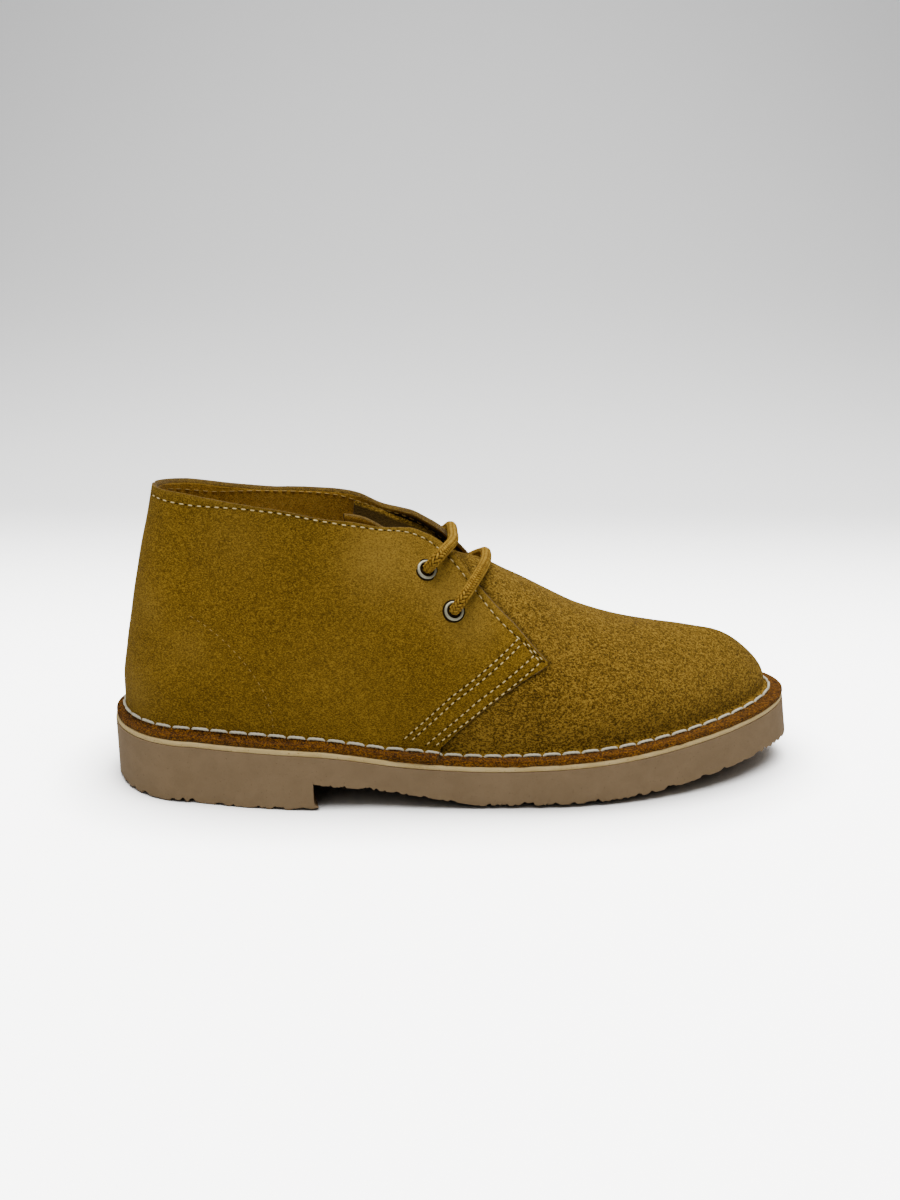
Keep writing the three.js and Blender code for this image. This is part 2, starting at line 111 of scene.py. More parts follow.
ridge = table(
    "x y z corner",
    (100, 0, 136, 2.8), (114, 0, 126, 2.6), (129, 0, 118.4, 2.35), (137, 0.5, 113.6, 2.25),
    (143, 1, 109.2, 2.3), (150, 1.5, 103, 2.35), (158, 2.5, 96.4, 2.3), (166, 3, 91.6, 2.2),
    (180, 4.5, 84.6, 2.15), (203, 7, 73, 2.1), (226, 9.5, 65.4, 2), (246, 11.5, 62.2, 1.8),
    (260, 12.5, 61.2, 1.65),
)
spinePlaces = table("x ridge", (0, 0), (190, 190), (225, 219), (262, 241), (300, 257))
ankle = table(
    "z back w40 w60 w80 w100 w120 w140",
    (30, 5.6, 31.6, 34.4, 35.8, 36, 36.2, 37.5), (45, 6.2, 32, 34.8, 36.2, 36.6, 37, 38),
    (60, 9, 30, 33.2, 35.2, 36.2, 37, 37.6), (77, 12.2, 26.2, 30, 32.8, 35, 36.2, 36),
    (95, 16.2, 21.2, 25.4, 28.8, 32.2, 33, 29), (112, 20.4, 17.4, 21.4, 25.6, 29.6, 26.6, 18),
    (124, 23.4, 15.4, 19.6, 24.2, 28, 22.4, 12), (142, 27.8, 13.4, 17.8, 22.6, 25, 17, 8),
)
topLine = table(
    "x z",
    (10, 131), (22, 128.4), (38, 126.6), (50, 124.8), (64, 123), (80, 121.4), (95, 119.2),
    (105, 118), (118, 114.8), (129.5, 113.4), (136.2, 110.4), (142.4, 106.6), (146.6, 102.4),
    (151.5, 97.2), (157, 90.4), (165.2, 81.6), (172.6, 74.8), (180, 66.9), (186.6, 60.2),
)
quarterLine = table(
    "x z", (139, 20), (143, 25.4), (153, 36.4), (163, 45.4), (174.5, 53.6), (186.6, 60.2))

lastStation = form["heelSteps"] + form["sideSteps"] + form["toeSteps"]
soleTop = curveOf(soleHeights, "top")
soleBottom = curveOf(soleHeights, "bottom")
soleEdge = curveOf(soleHeights, "edge")
waistZ = curveOf(waistLine, "z")
insetAt = curveOf(footInset, "inset")
planBreadth = {lateral: curveOf(solePlan, "lateral"), medial: curveOf(solePlan, "medial")}
flareAt = {lateral: curveOf(soleFlare, "lateral"), medial: curveOf(soleFlare, "medial")}
ridgeY, ridgeZ, ridgeCorner = (curveOf(ridge, name) for name in ("y", "z", "corner"))
spineX = curveOf(spinePlaces, "ridge")
ankleBack = curveOf(ankle, "back", "z")
ankleWidths = [curveOf(ankle, f"w{x}", "z") for x in range(40, 141, 20)]
topZ, quarterZ = curveOf(topLine, "z"), curveOf(quarterLine, "z")
# the inner side of the collar stands a little higher
collarRise = curveThrough([70, 84, 96, 106, 116, 126], [0, 0.9, 1.5, 1.3, 0.4, 0])


def seat(x):
    return soleTop(x) + form["midsole"] + form["gap"]


def stationX(i):
    heelShare = np.clip(i / form["heelSteps"], 0, 1)
    sideShare = (i - form["heelSteps"]) / form["sideSteps"]
    toeShare = np.clip((i - form["heelSteps"] - form["sideSteps"]) / form["toeSteps"], 0, 1)
    heel = form["heelCentre"] * (1 - np.cos(heelShare * np.pi / 2))
    side = mix(form["heelCentre"], form["ballX"], sideShare)
    toe = mix(form["ballX"], form["length"], np.sin(toeShare * np.pi / 2))
    return np.where(sideShare <= 0, heel, np.where(sideShare <= 1, side, toe))


def stationOf(x):
    heelShare = np.arccos(np.clip(1 - x / form["heelCentre"], 0, 1)) / np.pi * 2
    sideShare = (x - form["heelCentre"]) / (form["ballX"] - form["heelCentre"])
    toeShare = np.arcsin(np.clip((x - form["ballX"]) / (form["length"] - form["ballX"]), 0, 1)) / np.pi * 2
    heelSteps, sideSteps = form["heelSteps"], form["sideSteps"]
    side = np.where(sideShare <= 1, heelSteps + sideShare * sideSteps,
                    heelSteps + sideSteps + toeShare * form["toeSteps"])
    return np.where(sideShare <= 0, heelShare * heelSteps, side)


def outlineY(side, x):
    breadth, heelCentre, start = planBreadth[side], form["heelCentre"], form["ball"][side]
    n, m = form["heelCorner"], form["toeCorner"][side]
    back = np.clip((heelCentre - x) / heelCentre, 0, 1)
    front = np.clip((x - start) / (form["length"] - start), 0, 1)
    heel = side * breadth(heelCentre) * (1 - back ** n) ** (1 / n)
    toe = form["tipY"] + (side * breadth(start) - form["tipY"]) * (1 - front ** m) ** (1 / m)
    return np.where(x < heelCentre, heel, np.where(x <= start, side * breadth(x), toe))


def insetPoint(side, i, inset):
    step = 0.05
    before, after = stationX(np.maximum(i - step, 0)), stationX(np.minimum(i + step, lastStation))
    nx = -side * (outlineY(side, after) - outlineY(side, before))
    ny = -side * (before - after)
    atHeel, atToe = i <= 0, i >= lastStation
    nx = np.where(atHeel, -1, np.where(atToe, 1, nx))
    ny = np.where(atHeel | atToe, 0, ny)
    size = np.hypot(nx, ny)
    x = stationX(i)
    return x - nx / size * inset, outlineY(side, x) - ny / size * inset


def ankleBreadth(x, z):
    x, z = np.broadcast_arrays(x, z)
    width = np.stack([curve(z) for curve in ankleWidths])
    rise = np.diff(width, axis=0) / 20
    product, total = rise[:-1] * rise[1:], rise[:-1] + rise[1:]
    inner = np.where(product > 0, 2 * product / np.where(total == 0, 1, total), 0)
    slope = np.concatenate([rise[:1], inner, rise[-1:]])
    k = np.clip(((x - 40) // 20).astype(int), 0, 4)
    t = np.clip((x - 40) / 20 - k, 0, 1)

    def pick(rows, shift):
        return np.take_along_axis(rows, (k + shift)[None], axis=0)[0]

    ease = t * t * (3 - 2 * t)
    leave = t * (1 - t) ** 2 * 20 * pick(slope, 0)
    arrive = t * t * (1 - t) * 20 * pick(slope, 1)
    return pick(width, 0) * (1 - ease) + pick(width, 1) * ease + leave - arrive


def anklePoint(side, x, z):
    heelCentre = form["heelCentre"]
    back = np.clip((heelCentre - x) / heelCentre, 0, 1)
    heelX = heelCentre - (heelCentre - ankleBack(z)) * back
    breadth = ankleBreadth(np.maximum(x, heelCentre), z) * np.sqrt(1 - back * back)
    return np.where(x >= heelCentre, x, heelX), side * breadth


def lastPoint(side, i, t):
    i, t = together(i, t)
    x = stationX(i)
    footX, footY = insetPoint(side, i, insetAt(x))
    footZ = seat(footX) + form["wallFoot"]

    ankleZ = mix(footZ, form["plugHeight"], t)
    lowX, lowY = anklePoint(side, x, footZ)
    fade = 1 - smooth(footZ, form["fadeHeight"], ankleZ)
    ankleX, ankleY = anklePoint(side, x, ankleZ)
    ankleX = ankleX + (footX - lowX) * fade
    ankleY = ankleY + (footY - lowY) * fade

    spine = spineX(x)
    corner = 2 / ridgeCorner(spine)
    across = np.cos(t * np.pi / 2).clip(0) ** corner
    upward = np.sin(t * np.pi / 2) ** corner
    swell = form["swell"] * np.sin(np.minimum(1, t / form["swellShare"]) * np.pi)
    swell = swell * (1 - smooth(form["ballX"], form["toeEnds"], x))
    foreX = mix(spine, footX, across)
    foreY = mix(ridgeY(spine), footY, across) + side * swell
    foreZ = mix(footZ, ridgeZ(spine), upward)

    blend = smooth(form["ankleEnds"], form["forefootStarts"], x)
    return np.stack([mix(ankleX, foreX, blend), mix(ankleY, foreY, blend), mix(ankleZ, foreZ, blend)], -1)


def together(*values):
    return np.broadcast_arrays(*(np.asarray(value, float) for value in values))


def unit(v):
    return v / np.maximum(np.linalg.norm(v, axis=-1, keepdims=True), 1e-12)


def lastNormal(side, i, t):
    i, t = together(i, t)
    step = 0.02
    level = np.clip(t, step, 1 - 2 * step)
    up = lastPoint(side, i, level + step) - lastPoint(side, i, level - step)
    along = lastPoint(side, np.minimum(i + step, lastStation), level)
    along = along - lastPoint(side, np.maximum(i - step, 0), level)
    normal = unit(np.cross(up, along) * side)
    ends = np.stack([up[..., 2], np.zeros_like(t), -up[..., 0]], -1)
    ends = unit(ends * np.where(i <= 0, -1, 1)[..., None])
    normal = np.where(((i <= 0) | (i >= lastStation))[..., None], ends, normal)
    nearRidge = smooth(1 - 2 * step, 1, t) * (stationX(i) >= form["forefootStarts"])
    flat = normal * [1, 0, 1]
    return unit(mix(normal, flat, nearRidge[..., None]))


def offsetPoint(side, i, t, offset):
    return lastPoint(side, i, t) + lastNormal(side, i, t) * np.asarray(offset, float)[..., None]


# Flange: the wall turned out at its foot, from p -1 at the edge to 0 at the wall
flange = table(
    "p share lift",
    (-1, 0, 1.75), (-0.93, 0.03, 2.1), (-0.7, 0.3, 2.35), (-0.4, 0.62, 2.65), (-0.2, 0.86, 3.2),
    (-0.05, 0.985, 4), (0, 1, 4.6),
)
flangeShare, flangeLift = curveOf(flange, "share", "p"), curveOf(flange, "lift", "p")
flangeEdge = 0.5


def sectionPoint(side, i, p, height):
    i, p, height = together(i, p, height)
    onWallPart = offsetPoint(side, i, np.maximum(p, 0), height)
    q = np.minimum(p, 0)
    full = insetAt(stationX(i))
    step = 0.02

    def profile(at):
        return mix(flangeEdge, full, flangeShare(at)), flangeLift(at)

    inset, lift = profile(q)
    insetBefore, liftBefore = profile(np.maximum(q - step, -1))
    insetAfter, liftAfter = profile(np.minimum(q + step, 0))
    run, rise = insetAfter - insetBefore, liftAfter - liftBefore
    size = np.hypot(run, rise)
    x, y = insetPoint(side, i, inset - height * rise / size)
    low = np.stack([x, y, seat(x) + lift + height * run / size], -1)
    return np.where((p >= 0)[..., None], onWallPart, low)


def solveUp(side, i, height, isBelow):
    # the section place where the surface crosses a line in the side view, by halving
    low, high = np.full(np.shape(i), -1.0), np.full(np.shape(i), 1.0)
    for _ in range(26):
        middle = (low + high) / 2
        below = isBelow(sectionPoint(side, i, middle, height))
        low, high = np.where(below, middle, low), np.where(below, high, middle)
    return (low + high) / 2


wallStarts = {}


def onWall(side, x, z, height):
    # the place on the wall that shows at x, z in the side view: nearest of a coarse net, then refined
    x, z, height = together(x, z, height)
    if side not in wallStarts:
        i, p = np.meshgrid(np.linspace(0, lastStation, 129), np.linspace(-1, 0.99, 90))
        wallStarts[side] = i.ravel(), p.ravel(), sectionPoint(side, i, p, 0.0).reshape(-1, 3)
    i, p, net = wallStarts[side]
    near = ((net[:, :1] - x.ravel()) ** 2 + (net[:, 2:] - z.ravel()) ** 2).argmin(0)
    i, p = i[near].reshape(x.shape), p[near].reshape(x.shape)
    step = 0.002
    for _ in range(6):
        here = sectionPoint(side, i, p, height)
        byI = (sectionPoint(side, i + step, p, height) - here) / step
        byP = (sectionPoint(side, i, p + step, height) - here) / step
        dx, dz = x - here[..., 0], z - here[..., 2]
        size = byI[..., 0] * byP[..., 2] - byI[..., 2] * byP[..., 0]
        size = np.where(np.abs(size) < 1e-6, 1e-6, size)
        i = i + np.clip((dx * byP[..., 2] - dz * byP[..., 0]) / size, -0.5, 0.5)
        p = p + np.clip((dz * byI[..., 0] - dx * byI[..., 2]) / size, -0.1, 0.1)
        i, p = np.clip(i, 0, lastStation), np.clip(p, -1, 0.995)
    return i, p


# Meshes are made in the boot's own millimetres and moved into the frame at the end.
frameShift = np.array([-151.5, -4.641, 0])
lattice = np.random.default_rng(11).uniform(-1, 1, (64, 64, 64))


def noiseAt(points, cell, shift=0.0):
    place = np.asarray(points, float) / cell + shift
    base = np.floor(place).astype(int)
    part = place - base
    part = part * part * (3 - 2 * part)
    total = 0
    for dx in (0, 1):
        for dy in (0, 1):
            for dz in (0, 1):
                weight = np.abs(1 - dx - part[..., 0]) * np.abs(1 - dy - part[..., 1])
                weight = weight * np.abs(1 - dz - part[..., 2])
                corner = (base + [dx, dy, dz]) % 64
                total = total + weight * lattice[corner[..., 0], corner[..., 1], corner[..., 2]]
    return total


def gridPart(points, slot=0, around=False, **masks):
    rows, columns = points.shape[:2]
    index = np.arange(rows * columns).reshape(rows, columns)
    if around:
        index = np.concatenate([index, index[:, :1]], 1)
    quads = np.stack([index[:-1, :-1], index[:-1, 1:], index[1:, 1:], index[1:, :-1]], -1)
    spread = {name: np.broadcast_to(mask, (rows, columns)).ravel() for name, mask in masks.items()}
    return {
        "points": points.reshape(-1, 3),
        "quads": quads.reshape(-1, 4),
        "slots": np.broadcast_to(slot, quads.shape[:2]).ravel(),
        "masks": spread,
    }


def makePiece(name, parts, materials, replaced=(), sharpAngle=None, weld=0.002):
    offsets = np.cumsum([0] + [len(part["points"]) for part in parts])
    points = np.concatenate([part["points"] for part in parts])
    quads = np.concatenate([part["quads"] + start for part, start in zip(parts, offsets)])
    slots = np.concatenate([part["slots"] for part in parts])
    _, first, back = np.unique(np.round(points / weld).astype(np.int64), axis=0,
                               return_index=True, return_inverse=True)
    quads = back.ravel()[quads]
    same = quads == np.roll(quads, -1, axis=1)
    crossed = (quads[:, 0] == quads[:, 2]) | (quads[:, 1] == quads[:, 3])
    whole = (same.sum(1) == 0) & ~crossed
    cornered = (same.sum(1) == 1) & ~crossed
    triangles = quads[cornered][~same[cornered]].reshape(-1, 3)
    faces = quads[whole].tolist() + triangles.tolist()
    faceSlots = np.concatenate([slots[whole], slots[cornered]])
    mesh = bpy.data.meshes.new(name)
    mesh.from_pydata(((points[first] + frameShift) / 1000).tolist(), [], faces)
    mesh.polygons.foreach_set("material_index", faceSlots.astype(np.int32))
    maskNames = sorted({mask for part in parts for mask in part["masks"]})
    for maskName in maskNames:
        values = np.concatenate([
            part["masks"].get(maskName, np.zeros(len(part["points"]))) for part in parts])[first]
        attribute = mesh.attributes.new(maskName, "FLOAT", "POINT")
        attribute.data.foreach_set("value", values.astype(np.float32))
    for material in materials:
        mesh.materials.append(material)
    tidy = bmesh.new()
    tidy.from_mesh(mesh)
    loose = [vertex for vertex in tidy.verts if not vertex.link_faces]
    bmesh.ops.delete(tidy, geom=loose, context="VERTS")
    bmesh.ops.recalc_face_normals(tidy, faces=tidy.faces)
    tidy.to_mesh(mesh)
    tidy.free()
    mesh.shade_smooth()
    if sharpAngle:
        mesh.set_sharp_from_angle(angle=math.radians(sharpAngle))
    piece = bpy.data.objects.new(name, mesh)
    bpy.context.scene.collection.objects.link(piece)
    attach(piece, "root")
    if replaced:
        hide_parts(*replaced)
    print(f"{name}: {len(mesh.polygons)} faces")
    return piece


def capPart(outer, inner, slot=0):
    return gridPart(np.stack([outer, inner]), slot)


def rimPart(outer, inner, bulge, rows=5, rough=0.0, slot=0, **masks):
    # a rounded cut edge from the outer to the inner line, standing out by bulge vectors
    rounds = np.linspace(0, 1, rows + 2)[:, None, None]
    line = mix(outer[None], inner[None], rounds)
    line = line + bulge[None] * (np.sin(rounds * np.pi) ** 0.6)
    if rough:
        shake = noiseAt(line, 0.9, 3.3) * rough + noiseAt(line, 2.6, 7.1) * rough
        away = bulge[None] / np.maximum(np.linalg.norm(bulge[None], axis=-1, keepdims=True), 1e-6)
        line = line + away * (shake * np.sin(rounds[..., 0] * np.pi))[..., None]
    return gridPart(line, slot, **masks)


# Shader helpers: each adds one node and gives back its output
def join(tree, source, socket):
    if isinstance(source, bpy.types.NodeSocket):
        tree.links.new(source, socket)
    else:
        socket.default_value = source


def addMath(tree, operation, first, second=0.0, third=None):
    node = tree.nodes.new("ShaderNodeMath")
    node.operation = operation
    join(tree, first, node.inputs[0])
    join(tree, second, node.inputs[1])
    if third is not None:
        join(tree, third, node.inputs[2])
    return node.outputs[0]


def addMix(tree, factor, first, second):
    node = tree.nodes.new("ShaderNodeMix")
    node.data_type = "RGBA"
    join(tree, factor, node.inputs["Factor"])
    join(tree, first, node.inputs[6])
    join(tree, second, node.inputs[7])
    return node.outputs[2]


def addRange(tree, value, low, high, toLow=0.0, toHigh=1.0, way="LINEAR"):
    node = tree.nodes.new("ShaderNodeMapRange")
    node.interpolation_type = way
    for socket, given in zip(node.inputs, (value, low, high, toLow, toHigh)):
        join(tree, given, socket)
    return node.outputs[0]


def addNoise(tree, vector, scale, detail=3.0, roughness=0.55, distortion=0.0):
    node = tree.nodes.new("ShaderNodeTexNoise")
    join(tree, vector, node.inputs["Vector"])
    join(tree, scale, node.inputs["Scale"])
    join(tree, detail, node.inputs["Detail"])
    join(tree, roughness, node.inputs["Roughness"])
    join(tree, distortion, node.inputs["Distortion"])
    return node.outputs["Fac"]


def addSway(tree, noise, amount, value):
    # a noise that swings round its middle, times an amount, on top of a value
    return addMath(tree, "MULTIPLY_ADD", addMath(tree, "SUBTRACT", noise, 0.5), amount, value)


def addMapping(tree, vector, scale, turn=(0, 0, 0)):
    node = tree.nodes.new("ShaderNodeMapping")
    join(tree, vector, node.inputs["Vector"])
    node.inputs["Rotation"].default_value = turn
    join(tree, scale, node.inputs["Scale"])
    return node.outputs["Vector"]


def addMask(tree, name):
    node = tree.nodes.new("ShaderNodeAttribute")
    node.attribute_name = name
    return node.outputs["Fac"]


def millimetres(tree):
    place = tree.nodes.new("ShaderNodeTexCoord")
    return addMapping(tree, place.outputs["Object"], (1000, 1000, 1000))


def makeGroup(name, inputs, outputs):
    group = bpy.data.node_groups.new(name, "ShaderNodeTree")
    for label, kind, value in inputs:
        socket = group.interface.new_socket(label, in_out="INPUT", socket_type=kind)
        socket.default_value = value
    for label, kind in outputs:
        group.interface.new_socket(label, in_out="OUTPUT", socket_type=kind)
    entry = group.nodes.new("NodeGroupInput")
    leave = group.nodes.new("NodeGroupOutput")
    return group, entry.outputs, leave.inputs


number, colour = "NodeSocketFloat", "NodeSocketColor"


def srgb(red, green, blue):
    def linear(value):
        value = value / 255
        return value / 12.92 if value <= 0.04045 else ((value + 0.055) / 1.055) ** 2.4

    return (linear(red), linear(green), linear(blue), 1)


def makeNapGroup():
    # brushed suede: wide patches where the nap lies over, mottling, and short fibres
    group, entry, leave = makeGroup(
        "suedeNap",
        [("Dark", colour, srgb(70, 50, 4)), ("Middle", colour, srgb(108, 80, 14)),
         ("Light", colour, srgb(146, 114, 34)), ("Worn And Sheen", colour, srgb(150, 120, 50)),
         ("Nap Size", number, 1.0), ("Patches", number, 0.5), ("Mottle", number, 0.5),
         ("Fibres", number, 0.8), ("Pale", number, 0.0), ("Shade", number, 0.0)],
        [("Color", colour), ("Height", number), ("Roughness", number)])
    place = millimetres(group)
    size = entry["Nap Size"]
    patches = addNoise(group, place, 0.035, 4, 0.55, 0.4)
    mottle = addNoise(group, place, addMath(group, "DIVIDE", 0.3, size), 3, 0.6)
    lay = addMapping(group, place, (0.8, 1, 1.2), (0.3, 0.6, 0.2))
    fibres = addNoise(group, lay, addMath(group, "DIVIDE", 1.5, size), 2, 0.6, 0.6)
    fine = addNoise(group, lay, addMath(group, "DIVIDE", 3.2, size), 2, 0.6, 0.3)
    value = addSway(group, patches, entry["Patches"], 0.5)
    value = addSway(group, mottle, entry["Mottle"], value)
    value = addSway(group, fibres, entry["Fibres"], value)
    value = addSway(group, fine, entry["Fibres"], value)
    lower = addMix(group, addRange(group, value, 0, 0.5), entry["Dark"], entry["Middle"])
    tone = addMix(group, addRange(group, value, 0.5, 1), lower, entry["Light"])
    # worn places are paler, and painted sheen pales the top of the vamp in the same way
    wornAndSheen = addMath(group, "MULTIPLY", entry["Pale"], addRange(group, fibres, 0.3, 0.62, 0.35, 1))
    tone = addMix(group, wornAndSheen, tone, entry["Worn And Sheen"])
    # painted shade: where the Shade mask is set, the colour goes towards a near-black brown
    tone = addMix(group, entry["Shade"], tone, srgb(34, 22, 3))
    join(group, tone, leave["Color"])
    height = addMath(group, "ADD", fine, fibres)
    join(group, addMath(group, "MULTIPLY_ADD", mottle, 0.8, height), leave["Height"])
    join(group, addRange(group, fibres, 0.3, 0.7, 1.0, 0.9), leave["Roughness"])
    return group


def makeGrainGroup():
    # small specks and a soft grain for rubber, board and metal
    group, entry, leave = makeGroup(
        "fineGrain",
        [("Base", colour, (0.5, 0.5, 0.5, 1)), ("Light", colour, (0.6, 0.6, 0.6, 1)),
         ("Dark", colour, (0.3, 0.3, 0.3, 1)), ("Grain Size", number, 1.0), ("Clouds", number, 0.4),
         ("Specks", number, 0.4), ("Stretch", number, 1.0)],
        [("Color", colour), ("Height", number), ("Roughness", number)])
    place = millimetres(group)
    spread = group.nodes.new("ShaderNodeCombineXYZ")
    join(group, 1.0, spread.inputs[0])
    join(group, 1.0, spread.inputs[1])
    join(group, entry["Stretch"], spread.inputs[2])
    stretched = addMapping(group, place, spread.outputs[0])
    clouds = addNoise(group, stretched, addMath(group, "DIVIDE", 0.08, entry["Grain Size"]), 4, 0.6, 0.4)
    grain = addNoise(group, stretched, addMath(group, "DIVIDE", 1.6, entry["Grain Size"]), 4, 0.65)
    specks = addNoise(group, place, addMath(group, "DIVIDE", 0.85, entry["Grain Size"]), 2, 0.5)
    high = addMath(group, "MULTIPLY", addRange(group, specks, 0.66, 0.74), entry["Specks"])
    low = addMath(group, "MULTIPLY", addRange(group, specks, 0.34, 0.26), entry["Specks"])
    cloudy = addMath(group, "MULTIPLY", addRange(group, clouds, 0.35, 0.65), entry["Clouds"])
    tone = addMix(group, cloudy, entry["Base"], entry["Light"])
    tone = addMix(group, high, tone, entry["Light"])
    tone = addMix(group, low, tone, entry["Dark"])
    join(group, tone, leave["Color"])
    join(group, addMath(group, "MULTIPLY_ADD", clouds, 0.6, grain), leave["Height"])
    join(group, addRange(group, grain, 0.3, 0.7, 0.7, 0.95), leave["Roughness"])
    return group


napGroup = makeNapGroup()
grainGroup = makeGrainGroup()


def finishOf(name, group, values, bump, roughness=None, masks=(), **shaderValues):
    # a material with one group for its colour and bump, and plain values on the shader itself
    material = bpy.data.materials.new(name)
    material.use_nodes = True
    tree = material.node_tree
    shader = tree.nodes["Principled BSDF"]
    node = tree.nodes.new("ShaderNodeGroup")
    node.node_tree = group
    for label, value in values.items():
        node.inputs[label].default_value = value
    for label, mask in masks:
        tree.links.new(addMask(tree, mask), node.inputs[label])
    tree.links.new(node.outputs["Color"], shader.inputs["Base Color"])
    if roughness is None:
        tree.links.new(node.outputs["Roughness"], shader.inputs["Roughness"])
    else:
        shader.inputs["Roughness"].default_value = roughness
    relief = tree.nodes.new("ShaderNodeBump")
    relief.inputs["Strength"].default_value = bump["strength"]
    relief.inputs["Distance"].default_value = bump["depth"]
    tree.links.new(node.outputs["Height"], relief.inputs["Height"])
    tree.links.new(relief.outputs["Normal"], shader.inputs["Normal"])
    for label, value in shaderValues.items():
        shader.inputs[label.replace("_", " ")].default_value = value
    return material


bothMasks = (("Pale", "pale"), ("Shade", "shade"))
quarterSuede = finishOf(
    "quarterSuede", napGroup, {"Nap Size": 0.9, "Patches": 0.5, "Mottle": 0.4, "Fibres": 3.0},
    {"strength": 0.8, "depth": 0.0005}, masks=bothMasks,
    Sheen_Weight=0.1, Sheen_Roughness=0.5, Sheen_Tint=srgb(214, 184, 120), Specular_IOR_Level=0.05)
vampSuede = finishOf(
    "vampSuede", napGroup,
    {"Nap Size": 1.35, "Patches": 0.6, "Mottle": 0.5, "Fibres": 3.5, "Dark": srgb(60, 42, 4),
     "Middle": srgb(110, 81, 18), "Light": srgb(158, 124, 46)},
    {"strength": 1.0, "depth": 0.0008}, masks=bothMasks,
    Sheen_Weight=0.12, Sheen_Roughness=0.5, Sheen_Tint=srgb(220, 188, 120), Specular_IOR_Level=0.05)
innerSuede = finishOf(
    "innerSuede", napGroup,
    {"Nap Size": 0.9, "Patches": 0.5, "Mottle": 0.4, "Fibres": 1.9, "Dark": srgb(130, 92, 20),
     "Middle": srgb(178, 134, 42), "Light": srgb(214, 172, 76)},
    {"strength": 0.8, "depth": 0.0004}, masks=bothMasks, Sheen_Weight=0.1, Specular_IOR_Level=0.05)
cutSuede = finishOf(
    "cutSuede", napGroup,
    {"Nap Size": 0.6, "Patches": 0.3, "Mottle": 0.5, "Fibres": 2.4, "Dark": srgb(52, 36, 4),
     "Middle": srgb(100, 73, 13), "Light": srgb(148, 116, 38)},
    {"strength": 1.0, "depth": 0.0005}, masks=bothMasks, Sheen_Weight=0.1, Specular_IOR_Level=0.05)
flangeCut = finishOf(
    "flangeCut", napGroup,
    {"Nap Size": 0.9, "Patches": 0.3, "Mottle": 0.8, "Fibres": 3.0, "Dark": srgb(36, 16, 0),
     "Middle": srgb(92, 53, 5), "Light": srgb(160, 104, 26)},
    {"strength": 1.0, "depth": 0.0009}, masks=bothMasks, Sheen_Weight=0.03, Specular_IOR_Level=0.05)
soleRubber = finishOf(
    "soleRubber", grainGroup,
    {"Base": srgb(122, 101, 73), "Light": srgb(134, 112, 83), "Dark": srgb(90, 72, 50),
     "Grain Size": 0.7, "Clouds": 0.5, "Specks": 0.5},
    {"strength": 0.3, "depth": 0.0002}, Specular_IOR_Level=0.2)
creamBoard = finishOf(
    "creamBoard", grainGroup,
    {"Base": srgb(186, 160, 106), "Light": srgb(204, 180, 130), "Dark": srgb(132, 102, 56),
     "Grain Size": 0.8, "Clouds": 0.8, "Specks": 0.8, "Stretch": 3.0},
    {"strength": 0.5, "depth": 0.0002}, Specular_IOR_Level=0.2)
insoleHide = finishOf(
    "insoleHide", grainGroup,
    {"Base": srgb(176, 138, 84), "Light": srgb(196, 160, 106), "Dark": srgb(126, 92, 50),
     "Grain Size": 0.9, "Clouds": 0.6, "Specks": 0.4},
    {"strength": 0.3, "depth": 0.0002}, Specular_IOR_Level=0.3)
weltThread = finishOf(
    "weltThread", grainGroup,
    {"Base": srgb(188, 182, 158), "Light": srgb(206, 200, 180), "Dark": srgb(124, 112, 80),
     "Grain Size": 0.35, "Clouds": 0.5, "Specks": 0.7},
    {"strength": 0.5, "depth": 0.0001}, Specular_IOR_Level=0.2)
seamThread = finishOf(
    "seamThread", grainGroup,
    {"Base": srgb(196, 172, 112), "Light": srgb(220, 202, 150), "Dark": srgb(140, 112, 54),
     "Grain Size": 0.25, "Clouds": 0.5, "Specks": 0.6},
    {"strength": 0.4, "depth": 0.0001}, Specular_IOR_Level=0.2)
paleThread = finishOf(
    "paleThread", grainGroup,
    {"Base": srgb(146, 118, 56), "Light": srgb(168, 140, 80), "Dark": srgb(110, 84, 26),
     "Grain Size": 0.25, "Clouds": 0.5, "Specks": 0.6},
    {"strength": 0.4, "depth": 0.0001}, Specular_IOR_Level=0.2)
needleShadow = finishOf(
    "needleShadow", grainGroup,
    {"Base": srgb(28, 18, 5), "Light": srgb(40, 27, 9), "Dark": srgb(16, 10, 3),
     "Grain Size": 0.3, "Clouds": 0.5, "Specks": 0.3},
    {"strength": 0.3, "depth": 0.0001}, roughness=1.0, Specular_IOR_Level=0.05)
eyeletMetal = finishOf(
    "eyeletMetal", grainGroup,
    {"Base": srgb(158, 156, 132), "Light": srgb(178, 176, 154), "Dark": srgb(84, 78, 58),
     "Grain Size": 0.4, "Clouds": 0.6, "Specks": 0.35},
    {"strength": 0.12, "depth": 0.0001}, roughness=0.42, Metallic=0.55)


def makeYarnGroup():
    # braided yarn: a tone per point, which holds each strand's own tone together with painted shade and
    # highlight, with fine filaments across it
    group, entry, leave = makeGroup(
        "braidedYarn",
        [("Dark", colour, srgb(46, 28, 2)), ("Middle", colour, srgb(116, 84, 14)),
         ("Light", colour, srgb(184, 146, 54)), ("Tone And Shade", number, 0.5), ("Filaments", number, 0.5)],
        [("Color", colour), ("Height", number), ("Roughness", number)])
    place = millimetres(group)
    filaments = addNoise(group, place, 4.5, 2, 0.6)
    clouds = addNoise(group, place, 0.5, 3, 0.6)
    value = addSway(group, filaments, entry["Filaments"], entry["Tone And Shade"])
    value = addSway(group, clouds, entry["Filaments"], value)
    lower = addMix(group, addRange(group, value, 0, 0.5), entry["Dark"], entry["Middle"])
    join(group, addMix(group, addRange(group, value, 0.5, 1), lower, entry["Light"]), leave["Color"])
    join(group, filaments, leave["Height"])
    join(group, addRange(group, filaments, 0.3, 0.7, 0.75, 0.95), leave["Roughness"])
    return group


yarnGroup = makeYarnGroup()
laceYarn = finishOf(
    "laceYarn", yarnGroup, {"Filaments": 0.6}, {"strength": 0.4, "depth": 0.0001}, masks=(("Tone And Shade", "tone"),),
    Specular_IOR_Level=0.15)
